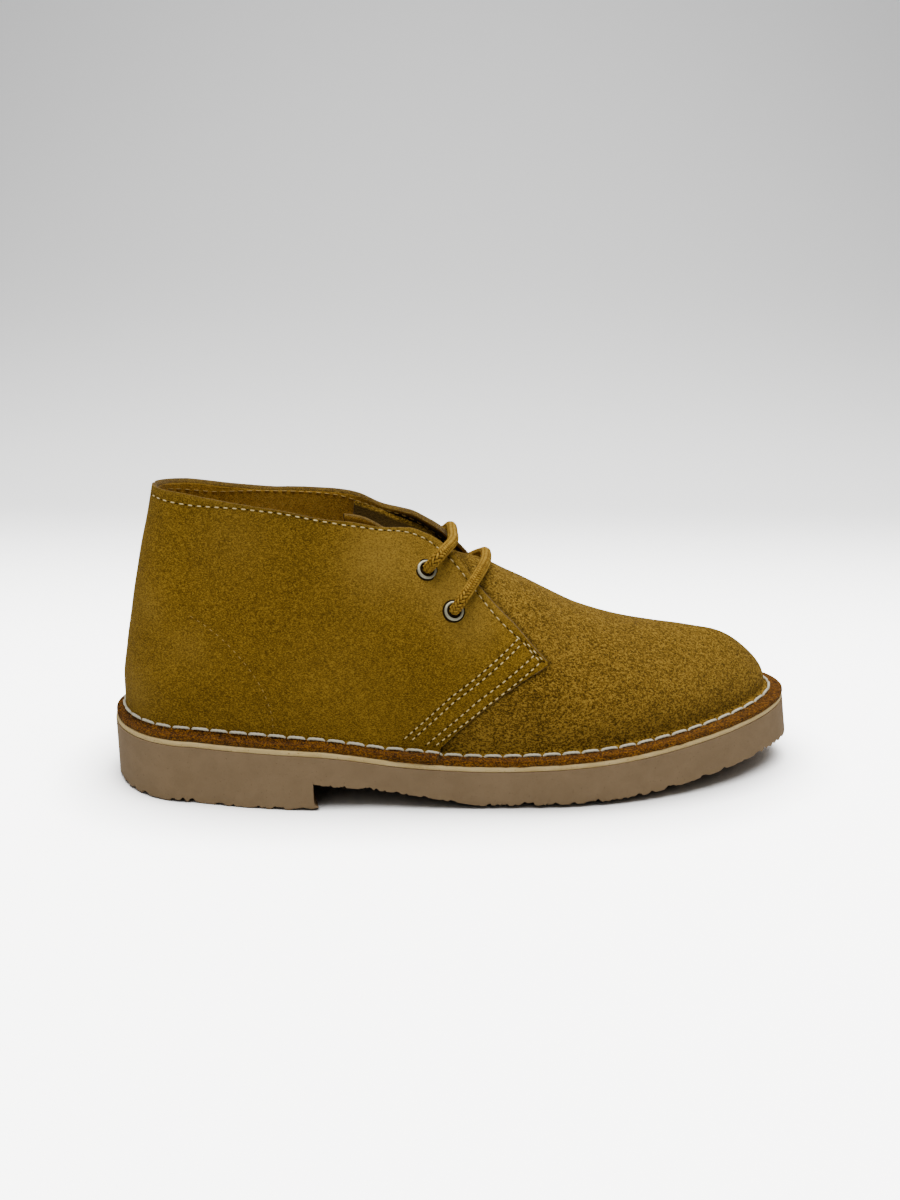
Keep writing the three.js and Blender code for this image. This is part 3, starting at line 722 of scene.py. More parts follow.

# Paper, with painted light: how much brighter the camera sees it near the boot, behind it and far off, and
# where that changes; and the reach and power of its painted contact shadow
paperLook = {
    "color": (0.86, 0.865, 0.87), "near": 5.0, "middle": 1.95, "far": 1.35,
    "starts": 0.06, "turns": 0.6, "ends": 1.4, "contactShadow": 0.035, "contactShadowPower": 1.4,
}


def makePaper():
    # plain paper, with painted light: the camera sees it brighter than the boot does, most near the boot, and
    # painted contact shadow darkens it where the sole is close
    material = bpy.data.materials.new("paper")
    material.use_nodes = True
    tree = material.node_tree
    tree.nodes.remove(tree.nodes["Principled BSDF"])
    shader = tree.nodes.new("ShaderNodeBsdfDiffuse")
    place = tree.nodes.new("ShaderNodeTexCoord")
    split = tree.nodes.new("ShaderNodeSeparateXYZ")
    tree.links.new(place.outputs["Object"], split.inputs[0])
    depth = split.outputs[1]
    look = paperLook
    near = addRange(tree, depth, look["starts"], look["turns"], look["near"], look["middle"], "SMOOTHSTEP")
    far = addRange(tree, depth, look["turns"], look["ends"], 0.0, look["far"] - look["middle"], "SMOOTHSTEP")
    seen = tree.nodes.new("ShaderNodeLightPath").outputs["Is Camera Ray"]
    # painted contact shadow: ambient occlusion under and beside the sole darkens the paper's colour
    contactShadow = tree.nodes.new("ShaderNodeAmbientOcclusion")
    contactShadow.inputs["Distance"].default_value = look["contactShadow"]
    closeness = addMath(tree, "POWER", contactShadow.outputs["AO"], look["contactShadowPower"])
    gain = addMath(tree, "MULTIPLY", addMath(tree, "ADD", near, far), closeness)
    gain = addMath(tree, "MULTIPLY_ADD", addMath(tree, "SUBTRACT", gain, 1.0), seen, 1.0)
    scaled = tree.nodes.new("ShaderNodeVectorMath")
    scaled.operation = "SCALE"
    scaled.inputs[0].default_value = look["color"]
    tree.links.new(gain, scaled.inputs["Scale"])
    tree.links.new(scaled.outputs[0], shader.inputs["Color"])
    tree.links.new(shader.outputs[0], tree.nodes["Material Output"].inputs["Surface"])
    return material


paper = makePaper()
print("materials ready")


# Upper
quarter = {
    "step": 1.2, "seamDepth": 0.7, "rimRound": 0.0045, "rimDrop": 1.5, "dropFades": 146, "dropEnds": 160,
    "edgeX": 141, "lapStarts": 118, "lapEnds": 127,
    "columns": 12, "rows": 112, "flangeRows": 14, "wallReach": 110, "flangeReach": 9,
    "lining": -1.7, "overVamp": 0.05, "cornerLeft": 1.2,
}
vampRear = table("z x", (18, 121), (28, 127), (40, 138), (51, 150), (58.5, 160), (64, 166), (70, 163),
                 (76, 158), (85, 152), (100, 150))
vampRearX = curveOf(vampRear, "x", "z")
vampRearZ = curveThrough([121, 127, 138, 150, 160, 168], [18, 28, 40, 51, 58.5, 62.5])
tongueRows = table(
    "x lateral medial",
    (104, 120, 115.6), (110, 118.6, 114), (116, 115.6, 112.4), (123, 111, 110), (130, 107.4, 108),
    (137, 104, 105), (147, 94, 94), (153, 89, 89), (157, 86, 86), (161, 83, 83), (163, 79.5, 79.5),
    (165, 73.5, 73.5), (166.5, 68, 68), (168, 62.5, 62.5),
)
tongueEdge = {lateral: curveOf(tongueRows, "lateral"), medial: curveOf(tongueRows, "medial")}
tongueMiddle = curveThrough(
    [104, 110, 116, 123, 130, 137, 147, 153, 157, 161, 166],
    [104, 103.2, 102.6, 102, 101.2, 100.2, 98.2, 96.4, 95, 93.4, 91.6])
tongueBend = {"hollow": 3.4, "flat": 2, "ends": 148, "vampStarts": 150, "vampEnds": 167}

# Stitch rows in the side view, found on the photograph and set on the boot
seams = {
    "collar": [(24.5, 123.9), (31, 122.8), (38.4, 121.8), (44.5, 121.2), (52.2, 121.1), (60.5, 121),
               (68.8, 120.6), (79.6, 119.9), (90.3, 118.6), (97.7, 117.6), (105.7, 116), (110.8, 115),
               (116.4, 113.7), (121.2, 113), (126.1, 112.3), (129.7, 111.4), (133, 110), (136, 108.4),
               (139, 106.3), (146.4, 100), (157.8, 86.3), (167.1, 76), (175.2, 69.2)],
    "innerUpper": [(174.2, 70.4), (146.9, 48.9), (127.3, 29.2)],
    "innerLower": [(174.8, 67.9), (148.2, 46.9), (130.4, 28.7)],
    "edgeUpper": [(180.6, 64.1), (157.4, 46.9), (136.4, 26.9)],
    "edgeLower": [(182.7, 61.2), (161.4, 45.2), (140.2, 26.7)],
    "frontInner": [(175.2, 69.2), (182.7, 61.2)],
    "frontOuter": [(176.9, 68.6), (184.2, 61.3)],
    "counter": [(41.1, 78.7), (46.4, 75.9), (53.9, 71), (61.3, 64.2), (67.7, 56.1), (72.1, 47.8),
                (74.4, 37.9), (74.6, 30.4)],
}
seamGroove = {"width": 0.9, "depth": 0.22}
# where the row of thick stitches runs on the flange, by x
weltPlace = curveThrough([0, 60, 86, 140, 300], [-0.16, -0.16, -0.26, -0.36, -0.36])


def lineDistance(x, z, line):
    best = np.full(np.shape(x), 1e9)
    for (x0, z0), (x1, z1) in zip(line[:-1], line[1:]):
        dx, dz = x1 - x0, z1 - z0
        t = np.clip(((x - x0) * dx + (z - z0) * dz) / (dx * dx + dz * dz), 0, 1)
        best = np.minimum(best, np.hypot(x - x0 - t * dx, z - z0 - t * dz))
    return best


def lengthsAlong(line):
    return np.concatenate([[0], np.cumsum(np.linalg.norm(np.diff(line, axis=0), axis=1))])


def pickAlong(rows, lengths, at):
    return np.stack([np.interp(at, lengths, rows[:, k]) for k in range(rows.shape[1])], -1)


def smoothLine(line, count):
    line = np.array(line, float)
    size = lengthsAlong(line)
    at = np.linspace(0, size[-1], count)
    return np.stack([curveThrough(size, line[:, k])(at) for k in range(line.shape[1])], -1)


def reachOf(p):
    return np.where(p >= 0, p * quarter["wallReach"], p * quarter["flangeReach"])


def placeOf(reach):
    return np.where(reach >= 0, reach / quarter["wallReach"], reach / quarter["flangeReach"])


def underPoint(side, i, p, offset):
    # the underside of the flange for p below 0, the inside of the wall above
    inside = offsetPoint(side, i, np.maximum(p, 0), offset)
    q = np.minimum(p, 0)
    full = insetAt(stationX(i))
    inset = np.interp(q, [-1, -0.5, -0.3, 0], [0, 0.75, 1, 1]) * (full - offset - 0.7) + 0.7
    lift = np.interp(q, [-1, -0.5, -0.3, 0], [0.12, 0.05, 0.5, 4.6])
    x, y = insetPoint(side, i, inset)
    low = np.stack([x, y, seat(x) + lift], -1)
    nearWall = smooth(-0.3, 0, q)[..., None]
    return np.where((p >= 0)[..., None], inside, mix(low, inside, nearWall))


def overVampAt(point):
    # 1 where the quarter lies on the vamp, 0 behind the vamp's rear edge
    rear = vampRearX(point[..., 2])
    return smooth(rear - 3, rear - 0.5, point[..., 0])


def layersOn(x, p):
    # the quarter's own flange lies low behind, and on the vamp's flange from the lap forward
    ownFlange = smooth(-0.6, -0.05, p)
    lapped = smooth(quarter["lapStarts"], quarter["lapEnds"], x)
    return mix(ownFlange, 1, lapped)


def quarterHeight(side, i, p):
    x = stationX(i)
    height = quarter["step"] * layersOn(x, p)
    base = sectionPoint(side, i, p, height)
    groove = 0
    for name, line in seams.items():
        depth = seamGroove["depth"] * (0.5 if name == "counter" else 1)
        away = lineDistance(base[..., 0], base[..., 2], line) / seamGroove["width"]
        groove = groove + depth * np.exp(-away ** 2)
    waves = 0.45 * noiseAt(base, 34, 2.1) + 0.2 * noiseAt(base, 13, 5.2)
    backSeam = quarter["seamDepth"] * np.exp(-(base[..., 1] / 1.1) ** 2) * (x < 25)
    return height + (waves - groove - backSeam) * (p > -0.9)


def makeQuarter(side):
    corner = float(stationOf(186.6 - quarter["cornerLeft"]))
    i = np.linspace(0, corner, int(corner * quarter["columns"]))

    def collarZ(x):
        return topZ(x) + (side == medial) * collarRise(x)

    def belowTop(point):
        return point[..., 2] < collarZ(point[..., 0])

    def belowInside(point):
        x = point[..., 0]
        drop = quarter["rimDrop"] * (1 - smooth(quarter["dropFades"], quarter["dropEnds"], x))
        return point[..., 2] < collarZ(x) - drop

    high = solveUp(side, i, quarter["step"], belowTop)
    low = solveUp(side, i, quarter["step"], lambda point: point[..., 2] < quarterZ(point[..., 0]))
    low = np.where(stationX(i) < 139, -1, low)
    highRound = np.minimum(quarter["rimRound"], (high - low) * 0.1)
    lowRound = np.where(low < 0, 0.05, np.minimum(quarter["rimRound"], (high - low) * 0.1))
    share = np.linspace(0, 1, quarter["rows"])[:, None]

    def places(top):
        # flange rows first, then the wall's, so that the rows keep level where the flange ends
        foot = np.maximum(np.linspace(-1, 0, quarter["flangeRows"])[:-1, None], low + lowRound)
        return np.concatenate([foot, mix(np.maximum(low + lowRound, 0), top - highRound, share)])

    p = places(high)
    i2 = np.broadcast_to(i, p.shape)
    outer = sectionPoint(side, i2, p, quarterHeight(side, i2, p))
    onVamp = overVampAt(outer)
    lining = mix(quarter["lining"], quarter["overVamp"], onVamp)
    # the cut falls inward, so that only the far side shows its thickness
    inP = places(solveUp(side, i, lining[-1], belowInside))
    under = underPoint(side, i2, inP, np.full(p.shape, quarter["lining"]))
    lapped = sectionPoint(side, i2, inP, np.full(p.shape, quarter["overVamp"]))
    inner = mix(under, lapped, onVamp[..., None])

    topBulge = sectionPoint(side, i, high, 0.0) - sectionPoint(side, i, high - highRound, 0.0)
    lowBulge = sectionPoint(side, i, low, 0.0) - sectionPoint(side, i, low + lowRound, 0.0)
    lowBulge = unit(lowBulge) * 0.45
    pale = paleHaze(outer, paleSpots) + 0.5 * np.exp(-(reachOf(high) - reachOf(p)) / 1.2)
    shade = seamShade(outer)
    cutSlot = np.where(stationX(i)[None, :-1] < quarter["edgeX"], 3, 2)
    parts = [
        gridPart(outer, np.where(p < weltPlace(stationX(i)) - 0.05, 3, 0)[:-1, :-1],
                 pale=np.clip(pale, 0, 1), shade=shade),
        gridPart(inner, 1, pale=0.0, shade=liningShade(inner)),
        rimPart(outer[-1], inner[-1], topBulge, 5, 0.12, 2, pale=0.05, shade=0.1),
        rimPart(outer[0], inner[0], lowBulge, 6, 0.3, cutSlot, pale=0.1, shade=0.0),
        capPart(outer[:, 0], inner[:, 0], 1),
        capPart(outer[:, -1], inner[:, -1], 2),
    ]
    name = "quarter_lateral" if side == lateral else "quarter_medial"
    return makePiece(name, parts, [quarterSuede, innerSuede, cutSuede, flangeCut], ["upper"], 50)


# Places where the nap is brushed pale, in the side view: x, z, reach and strength
paleSpots = [
    (118, 104, 16, 0.65), (143, 92, 12, 0.55), (155, 78, 12, 0.5), (16, 45, 9, 0.4),
    (24, 80, 7, 0.25), (60, 110, 18, 0.2), (40, 66, 10, 0.25), (100, 62, 22, 0.12),
]
# painted sheen: pale spots along the top of the vamp
toeSheenSpots = [(262, 52, 26, 0.15), (225, 60, 22, 0.15), (190, 74, 16, 0.15), (168, 88, 12, 0.2)]
# Painted shade: the hollow between the facings is darkened, and so is the line under the quarter's cut edge
hollowShade = {"edge": 0.3, "deep": 2.2, "strength": 0.95, "full": 138, "ends": 152}
cutLine = {"reach": 1.1, "strength": 0.75}


def paleHaze(point, spots):
    x, z = point[..., 0], point[..., 2]
    total = 0
    for spotX, spotZ, reach, strength in spots:
        total = total + strength * np.exp(-((x - spotX) ** 2 + (z - spotZ) ** 2) / reach ** 2)
    return total


def liningShade(point):
    # painted shade inside the facings, below the edge
    x, z = point[..., 0], point[..., 2]
    return hollowShade["strength"] * smooth(108, 122, x) * smooth(1.8, 3.6, topZ(x) - z)


def cutShade(point):
    # painted shadow on the vamp, close to the edges of the quarter that lies on it
    x, z = point[..., 0], point[..., 2]
    places = np.linspace(139, 186.6, 24)
    lower = lineDistance(x, z, list(zip(places, quarterZ(places))))
    front = np.linspace(150, 186.6, 24)
    upper = lineDistance(x, z, list(zip(front, topZ(front))))
    reach = cutLine["reach"]
    near = np.maximum(np.exp(-(lower / reach) ** 2), 0.6 * np.exp(-(upper / reach) ** 2))
    return cutLine["strength"] * near * (x > 138)


def seamShade(point):
    x, z = point[..., 0], point[..., 2]
    total = 0
    for name, line in seams.items():
        strength = 0.12 if name == "counter" else 0.3
        total = total + strength * np.exp(-(lineDistance(x, z, line) / 0.7) ** 2)
    return np.clip(total, 0, 0.6)


vampCut = {
    "start": 104, "lowStart": 121.5, "join": 168, "steps": 9, "toeSteps": 13,
    "lowRows": 30, "highRows": 56, "flangeRows": 14,
}


def vampStations(start):
    first = float(stationOf(start))
    side = np.linspace(first, 22, int((22 - first) * vampCut["steps"]))
    return np.concatenate([side, np.linspace(22, lastStation, vampCut["toeSteps"] * 10)[1:]])


def vampWaves(point):
    foot = smooth(0.0, 14, point[..., 2] - seat(point[..., 0]))
    return (0.5 * noiseAt(point, 30, 9.4) + 0.25 * noiseAt(point, 11, 4.4)) * foot


def tongueLines(side, x):
    # the y of the tongue's side edge, inside the quarter, and of its middle
    i, p = onWall(side, x, tongueEdge[side](x), -2.4)
    centre = ridgeY(x) * smooth(form["ankleEnds"], form["forefootStarts"], x)
    return sectionPoint(side, i, p, -2.4)[..., 1], centre


def gridNormals(grid):
    normals = np.cross(np.gradient(grid, axis=1), np.gradient(grid, axis=0))
    return unit(normals)


def makeVamp():
    iJoin = np.array([float(stationOf(vampCut["join"]))])
    parts = []
    halves = []
    for side in (lateral, medial):
        joinP = float(solveUp(side, iJoin, 0.0, lambda point: point[..., 2] < 62.5)[0])
        # wing: flange and lower wall, back to the rear edge under the quarter
        i = vampStations(vampCut["lowStart"])
        x = stationX(i)
        top = solveUp(side, i, 0.0, lambda point: point[..., 2] < vampRearZ(point[..., 0]))
        top = np.where(x >= vampCut["join"], joinP, top)
        flangeP = np.linspace(-1, 0, vampCut["flangeRows"])[:, None]
        wallP = np.linspace(0, 1, vampCut["lowRows"])[1:, None]
        p = np.concatenate([np.broadcast_to(flangeP, (len(flangeP), len(i))), wallP * np.maximum(top, 0)])
        p = np.minimum(p, top)
        i2 = np.broadcast_to(i, p.shape)
        height = np.where(p > 0, vampWaves(sectionPoint(side, i2, p, 0.0)), 0)
        outer = sectionPoint(side, i2, p, height)
        inner = underPoint(side, i2, p, height - form["wall"])
        edgeBulge = unit(sectionPoint(side, i, -1.0, 0.0) - sectionPoint(side, i, -0.95, 0.0)) * 0.45
        parts += [
            gridPart(outer, np.where(p < weltPlace(x) - 0.05, 2, 0)[:-1, :-1],
                     pale=paleHaze(outer, toeSheenSpots), shade=cutShade(outer)),
            gridPart(inner, 1, pale=0.0, shade=0.0),
            rimPart(outer[0], inner[0], edgeBulge, 6, 0.3, 2, pale=0.1, shade=0.0),
            capPart(outer[:, 0], inner[:, 0], 1),
        ]
        behind = x <= vampCut["join"] + 0.6
        parts.append(capPart(outer[-1][behind], inner[-1][behind], 1))

        # the upper part, which runs back between the facings as the tongue
        i = vampStations(vampCut["start"])
        x = stationX(i)
        low = solveUp(side, i, 0.0, lambda point: point[..., 2] < tongueEdge[side](point[..., 0]))
        low = np.where(x >= vampCut["join"], joinP, low)
        share = np.linspace(0, 1, vampCut["highRows"])[:, None]
        p = mix(low, 1, share)
        i2 = np.broadcast_to(i, p.shape)
        base = lastPoint(side, i2, p)
        base = base + lastNormal(side, i2, p) * vampWaves(base)[..., None]
        edgeY, centre = tongueLines(side, x)
        refer = np.argmin(np.abs(x - 170))
        spread = (base[:, refer, 1] - base[0, refer, 1]) / (base[-1, refer, 1] - base[0, refer, 1])
        y = mix(edgeY[None], centre[None], spread[:, None])
        bend = mix(tongueBend["hollow"], tongueBend["flat"], smooth(form["ankleEnds"], tongueBend["ends"], x))
        outward = np.abs((y - centre) / (edgeY - centre)) ** bend
        tongueZ = mix(tongueMiddle(x)[None], tongueEdge[side](x)[None], outward)
        tongue = np.stack([np.broadcast_to(x, y.shape), y, tongueZ], -1)
        blend = smooth(tongueBend["vampStarts"], tongueBend["vampEnds"], x)[None, :, None]
        # painted shade in the tongue's hollow, deeper below its edges
        depth = smooth(hollowShade["edge"], hollowShade["deep"], tongueEdge[side](x)[None] - tongueZ)
        depth = depth * hollowShade["strength"] * (1 - smooth(hollowShade["full"], hollowShade["ends"], x))
        outer = mix(tongue, base, blend)
        halves.append({"outer": outer, "last": lastNormal(side, i2, p), "x": x, "shade": depth})

    both, last, shade = (np.concatenate([halves[0][name], halves[1][name][::-1][1:]])
                         for name in ("outer", "last", "shade"))
    shade = np.maximum(shade, cutShade(both))
    x = halves[0]["x"]
    own = gridNormals(both)
    flip = np.sign((own * [0, 0, 1]).sum(-1)[:, :20].mean())
    own = own * flip
    onLast = smooth(tongueBend["vampStarts"], tongueBend["vampEnds"], x)
    normals = unit(mix(own, last, onLast[None, :, None]))
    inner = both - normals * form["wall"]
    parts.append(gridPart(both, 0, pale=paleHaze(both, toeSheenSpots), shade=shade))
    parts.append(gridPart(inner, 1, pale=0.0, shade=0.0))
    behind = x <= vampCut["join"] + 0.6
    for row, sign in ((0, 1), (-1, -1)):
        bulge = unit(both[row] - both[row + sign]) * 0.35
        parts.append(rimPart(
            both[row][behind], inner[row][behind], bulge[behind], 4, 0.1, 3, pale=0.15, shade=0.0))
    backBulge = unit(both[:, 0] - both[:, 1]) * 0.35
    parts.append(rimPart(both[:, 0], inner[:, 0], backBulge, 4, 0.1, 3, pale=0.15, shade=0.0))
    return makePiece("vamp_tongue", parts, [vampSuede, innerSuede, flangeCut, cutSuede],
                     ["upper", "tongue"], 50)


# Outsole: side wall, heel with its breast, waist and forefoot, with a torn-looking crepe edge
outsole = {
    "breast": 90.8, "breastTop": 11, "bevel": 9, "crinkle": 2.7, "crinkleFade": 4.5,
    "lip": 2.8, "lipHeight": 1.1,
    "hollow": 8, "hollowMiddle": -3.2, "hollowHalf": 40, "hollowStarts": 64, "hollowEnds": 114,
    "columns": 13, "toeColumns": 18, "wallRows": 14, "heelRows": 10, "across": 56,
}


def crinkle(points):
    flatPlace = points * [1, 1, 0]
    coarse = 1 - np.abs(noiseAt(flatPlace, 6.5, 1.7))
    middle = 1 - np.abs(noiseAt(flatPlace, 2.7, 8.3))
    fine = noiseAt(flatPlace, 1.1, 4.9)
    torn = 0.4 * coarse ** 2 + 0.7 * middle ** 3 + 0.34 * fine
    return outsole["crinkle"] * np.clip(torn - 0.42, 0, 1)


def soleBottomLine(side, i):
    x = stationX(i)
    px, py = insetPoint(side, i, -flareAt[side](x))
    return np.stack([px, py, soleEdge(x)], -1)


def soleTopLine(side, i):
    px, py = insetPoint(side, i, 0.0)
    return np.stack([px, py, soleTop(px)], -1)


def tornEdge(points, low):
    # lifts the lower edge by the crinkle, less and less up the side, and shapes the heel's front
    above = points[..., 2] - low
    fade = np.clip(1 - above / outsole["crinkleFade"], 0, 1) ** 1.6
    lifted = points + np.stack([0 * fade, 0 * fade, crinkle(points) * fade], -1)
    heel = smooth(outsole["breast"] - 3, outsole["breast"], points[..., 0])
    heel = heel * (points[..., 0] < outsole["breast"] + 0.01)
    lip = outsole["lip"] * np.exp(-np.maximum(points[..., 2], 0) / outsole["lipHeight"]) * heel
    return lifted + np.stack([lip - breastHollow(points), 0 * lip, 0 * lip], -1)


def breastHollow(points):
    # the heel's front face is hollow between its two edges
    x, y, z = points[..., 0], points[..., 1], points[..., 2]
    inward = np.clip(np.abs(y - outsole["hollowMiddle"]) / outsole["hollowHalf"], 0, 1)
    breast = outsole["breast"]
    behind, before = smooth(outsole["hollowStarts"], breast, x), smooth(breast, outsole["hollowEnds"], x)
    near = np.where(x < breast, behind, 1 - before)
    return outsole["hollow"] * (1 - inward ** 2) * near * (1 - smooth(11.5, 16, z))


def makeOutsole():
    o = outsole
    breast = float(stationOf(o["breast"]))
    heelI = np.linspace(0, breast, int(breast * o["columns"]))
    sideI = np.linspace(breast, 22, int((22 - breast) * o["columns"]))
    foreI = np.concatenate([sideI, np.linspace(22, lastStation, 10 * o["toeColumns"])[1:]])
    parts = []

    def wallSplit(side, i, isHeel):
        low, high = soleBottomLine(side, i), soleTopLine(side, i)
        x = stationX(i)
        cut = np.full(len(i), float(o["breastTop"])) if isHeel else np.maximum(soleEdge(x), waistZ(x))
        share = np.clip((cut - low[:, 2]) / (high[:, 2] - low[:, 2]), 0, 1)[:, None]
        return low, mix(low, high, share), high

    def underLine(i, isHeel):
        lines = [wallSplit(side, i, isHeel)[0 if isHeel else 1] for side in (lateral, medial)]
        share = np.linspace(0, 1, o["across"])[:, None, None]
        share = 0.5 - 0.5 * np.cos(share * np.pi)
        under = mix(lines[0][None], lines[1][None], share)
        width = np.abs(lines[1][:, 1] - lines[0][:, 1])[None]
        inFrom = np.minimum(share[..., 0], 1 - share[..., 0]) * width
        x = under[..., 0]
        base = soleBottom(x) if isHeel else np.maximum(soleBottom(x), waistZ(x))
        edge = under[..., 2]
        under[..., 2] = edge + np.minimum(base - edge, 0) * smooth(0, o["bevel"], inFrom)
        return under

    for isHeel, i in ((True, heelI), (False, foreI)):
        under = underLine(i, isHeel)
        parts.append(gridPart(tornEdge(under, under[..., 2])))
        share = np.linspace(0, 1, 9)[:, None, None]
        parts.append(gridPart(mix(soleTopLine(lateral, i)[None], soleTopLine(medial, i)[None], share)))
        for side in (lateral, medial):
            low, cut, high = wallSplit(side, i, isHeel)
            rows = np.linspace(0, 1, o["wallRows"])[:, None, None] ** 1.5
            upper = mix(cut[None], high[None], rows)
            rim = cut[None, :, 2] if not isHeel else low[None, :, 2]
            parts.append(gridPart(tornEdge(upper, rim)))
            if isHeel:
                rows = np.linspace(0, 1, o["heelRows"])[:, None, None] ** 1.5
                parts.append(gridPart(tornEdge(mix(low[None], cut[None], rows), rim)))
    heelEdge = underLine(heelI[-1:], True)[:, 0]
    waistEdge = underLine(foreI[:1], False)[:, 0]
    rows = np.linspace(0, 1, o["heelRows"])[:, None, None] ** 1.5
    face = mix(heelEdge[None], waistEdge[None], rows)
    parts.append(gridPart(tornEdge(face, heelEdge[None, :, 2])))
    return makePiece("outsole_crepe", parts, [soleRubber], ["outsole"], 55)


def ringGrid(point, count=360):
    # a closed ring of points right round the boot for each row that point gives
    i = np.concatenate([lastStation * (0.5 - 0.5 * np.cos(np.linspace(0, np.pi, count // 2)))])
    first, second = point(lateral, i), point(medial, i[::-1][1:-1])
    return np.concatenate([first, second], axis=1), i


midsole = {"inset": 0.35, "low": 0.02, "high": 2.26, "round": 0.3}


def makeMidsole():
    inset, low, high, corner = (midsole[name] for name in ("inset", "low", "high", "round"))
    rows = [(6, low), (inset + corner, low), (inset, 0.35), (inset - 0.08, 1.1), (inset, 1.95),
            (inset + corner, high), (12, high)]

    def point(side, i):
        lines = []
        for inset, lift in rows:
            x, y = insetPoint(side, i, inset)
            line = np.stack([x, y, soleTop(x) + lift], -1)
            wobble = 0.1 * noiseAt(line, 4, 6.6) + 0.06 * noiseAt(line, 1.5, 2.2)
            lines.append(line + (wobble * (0.3 < lift) * (lift < 2))[:, None] * [0, side, 0.6])
        return np.array(lines)

    ring, i = ringGrid(point, 560)
    half = len(i)
    parts = [gridPart(ring, around=True)]
    for row in (0, -1):
        one = ring[row, :half]
        other = np.concatenate([ring[row, :1], ring[row, half:][::-1], ring[row, half - 1:half]])
        share = np.linspace(0, 1, 9)[:, None, None]
        parts.append(gridPart(mix(one[None], other[None], share)))
    return makePiece("midsole_board", parts, [creamBoard], ["midsole"], 40)


insole = {"clear": 0.35, "thick": 2.5, "cup": 0.84, "cupWidth": 11}


def makeInsole():
    i = lastStation * (0.5 - 0.5 * np.cos(np.linspace(0, np.pi, 200)))
    inset = insetAt(stationX(i)) + form["wall"] + insole["clear"]
    lines = [np.stack(insetPoint(side, i, inset), -1) for side in (lateral, medial)]
    share = (0.5 - 0.5 * np.cos(np.linspace(0, np.pi, 48)))[:, None, None]
    plan = mix(lines[0][None], lines[1][None], share)
    width = np.linalg.norm(lines[1] - lines[0], axis=1)[None]
    inFrom = np.minimum(share[..., 0], 1 - share[..., 0]) * width
    floor = seat(plan[..., 0])
    soft = noiseAt(np.concatenate([plan, 0 * plan[..., :1]], -1), 26, 3.1) * 0.25
    top = floor + insole["thick"] + insole["cup"] * (1 - smooth(0, insole["cupWidth"], inFrom))
    top = top + soft * smooth(0, 6, inFrom) - 0.5 * (1 - smooth(0, 1.2, inFrom))
    upper = np.concatenate([plan, top[..., None]], -1)
    lower = np.concatenate([plan, floor[..., None] + 0.02], -1)
    parts = [gridPart(upper), gridPart(lower), capPart(upper[0], lower[0]), capPart(upper[-1], lower[-1])]
    return makePiece("insole_board", parts, [insoleHide], ["insole"], 50)


# Eyelets
eyelet = {
    "bore": 2.95, "rim": 4.05, "barrel": 3.5, "front": 0.15, "roll": 0.7, "rollRadius": 0.6, "back": -3.8,
    "upper": (136.7, 97.6), "lower": (147.5, 82.2), "segments": 72,
    "shadow": [(4.75, -0.35), (4.62, 0.08), (2.9, 0.14), (1.5, 0.1), (0.0, 0.08)],
}


def eyeletSeat(side, name):
    x, z = eyelet[name]
    i, p = onWall(side, np.array([x]), np.array([z]), quarter["step"])
    return sectionPoint(side, i, p, quarterHeight(side, i, p))[0], lastNormal(side, i, p)[0]


def makeEyelet(side, name):
    centre, normal = eyeletSeat(side, name)
    bore, rim, barrel, front, back = (eyelet[part] for part in ("bore", "rim", "barrel", "front", "back"))
    roll, rollRadius = eyelet["roll"], eyelet["rollRadius"]
    rolled = [(rim + rollRadius * (math.cos(a) - 1), front + roll * math.sin(a))
              for a in np.linspace(-0.35, math.pi * 0.5, 9)]
    inward = [(bore + 0.3 - 0.3 * math.sin(a), front + roll - 0.3 + 0.3 * math.cos(a))
              for a in np.linspace(0.25, math.pi * 0.5, 6)]
    tail = [(bore, 0.0), (bore, back - 0.55), (bore + 0.35, back - 0.8), (rim - 0.7, back - 0.75),
            (rim - 0.4, back - 0.4), (rim - 0.7, back - 0.1), (barrel, back), (barrel, front - 0.3)]
    profile = np.array(rolled + inward + tail)
    across = unit(np.cross(normal, [0, 0, 1]))
    upward = np.cross(across, normal)
    turn = np.linspace(0, 2 * np.pi, eyelet["segments"], endpoint=False)
    around = across[None] * np.cos(turn)[:, None] + upward[None] * np.sin(turn)[:, None]

    def turned(rows):
        rows = np.array(rows)
        return centre + rows[:, None, :1] * around[None] + rows[:, None, 1:] * normal

    ring = turned(np.concatenate([profile, profile[:1]]))
    # the shadow rows are a dark disc of painted shade in the bore, which also shows as a thin dark ring round
    # the rim
    parts = [gridPart(ring, around=True), gridPart(turned(eyelet["shadow"]), 1, around=True)]
    nodeName = f"eyelet_{name}_{'lateral' if side == lateral else 'medial'}"
    return makePiece(nodeName + "_ring", parts, [eyeletMetal, needleShadow], [nodeName], 60)


# Cords, threads and laces
def frameAlong(path):
    ahead = unit(np.gradient(path, axis=0))
    side = np.zeros_like(path)
    start = np.cross(ahead[0], [0, 0, 1])
    side[0] = start / np.linalg.norm(start)
    for k in range(1, len(path)):
        carried = side[k - 1] - ahead[k] * np.dot(side[k - 1], ahead[k])
        side[k] = carried / np.linalg.norm(carried)
    return ahead, side, np.cross(ahead, side)


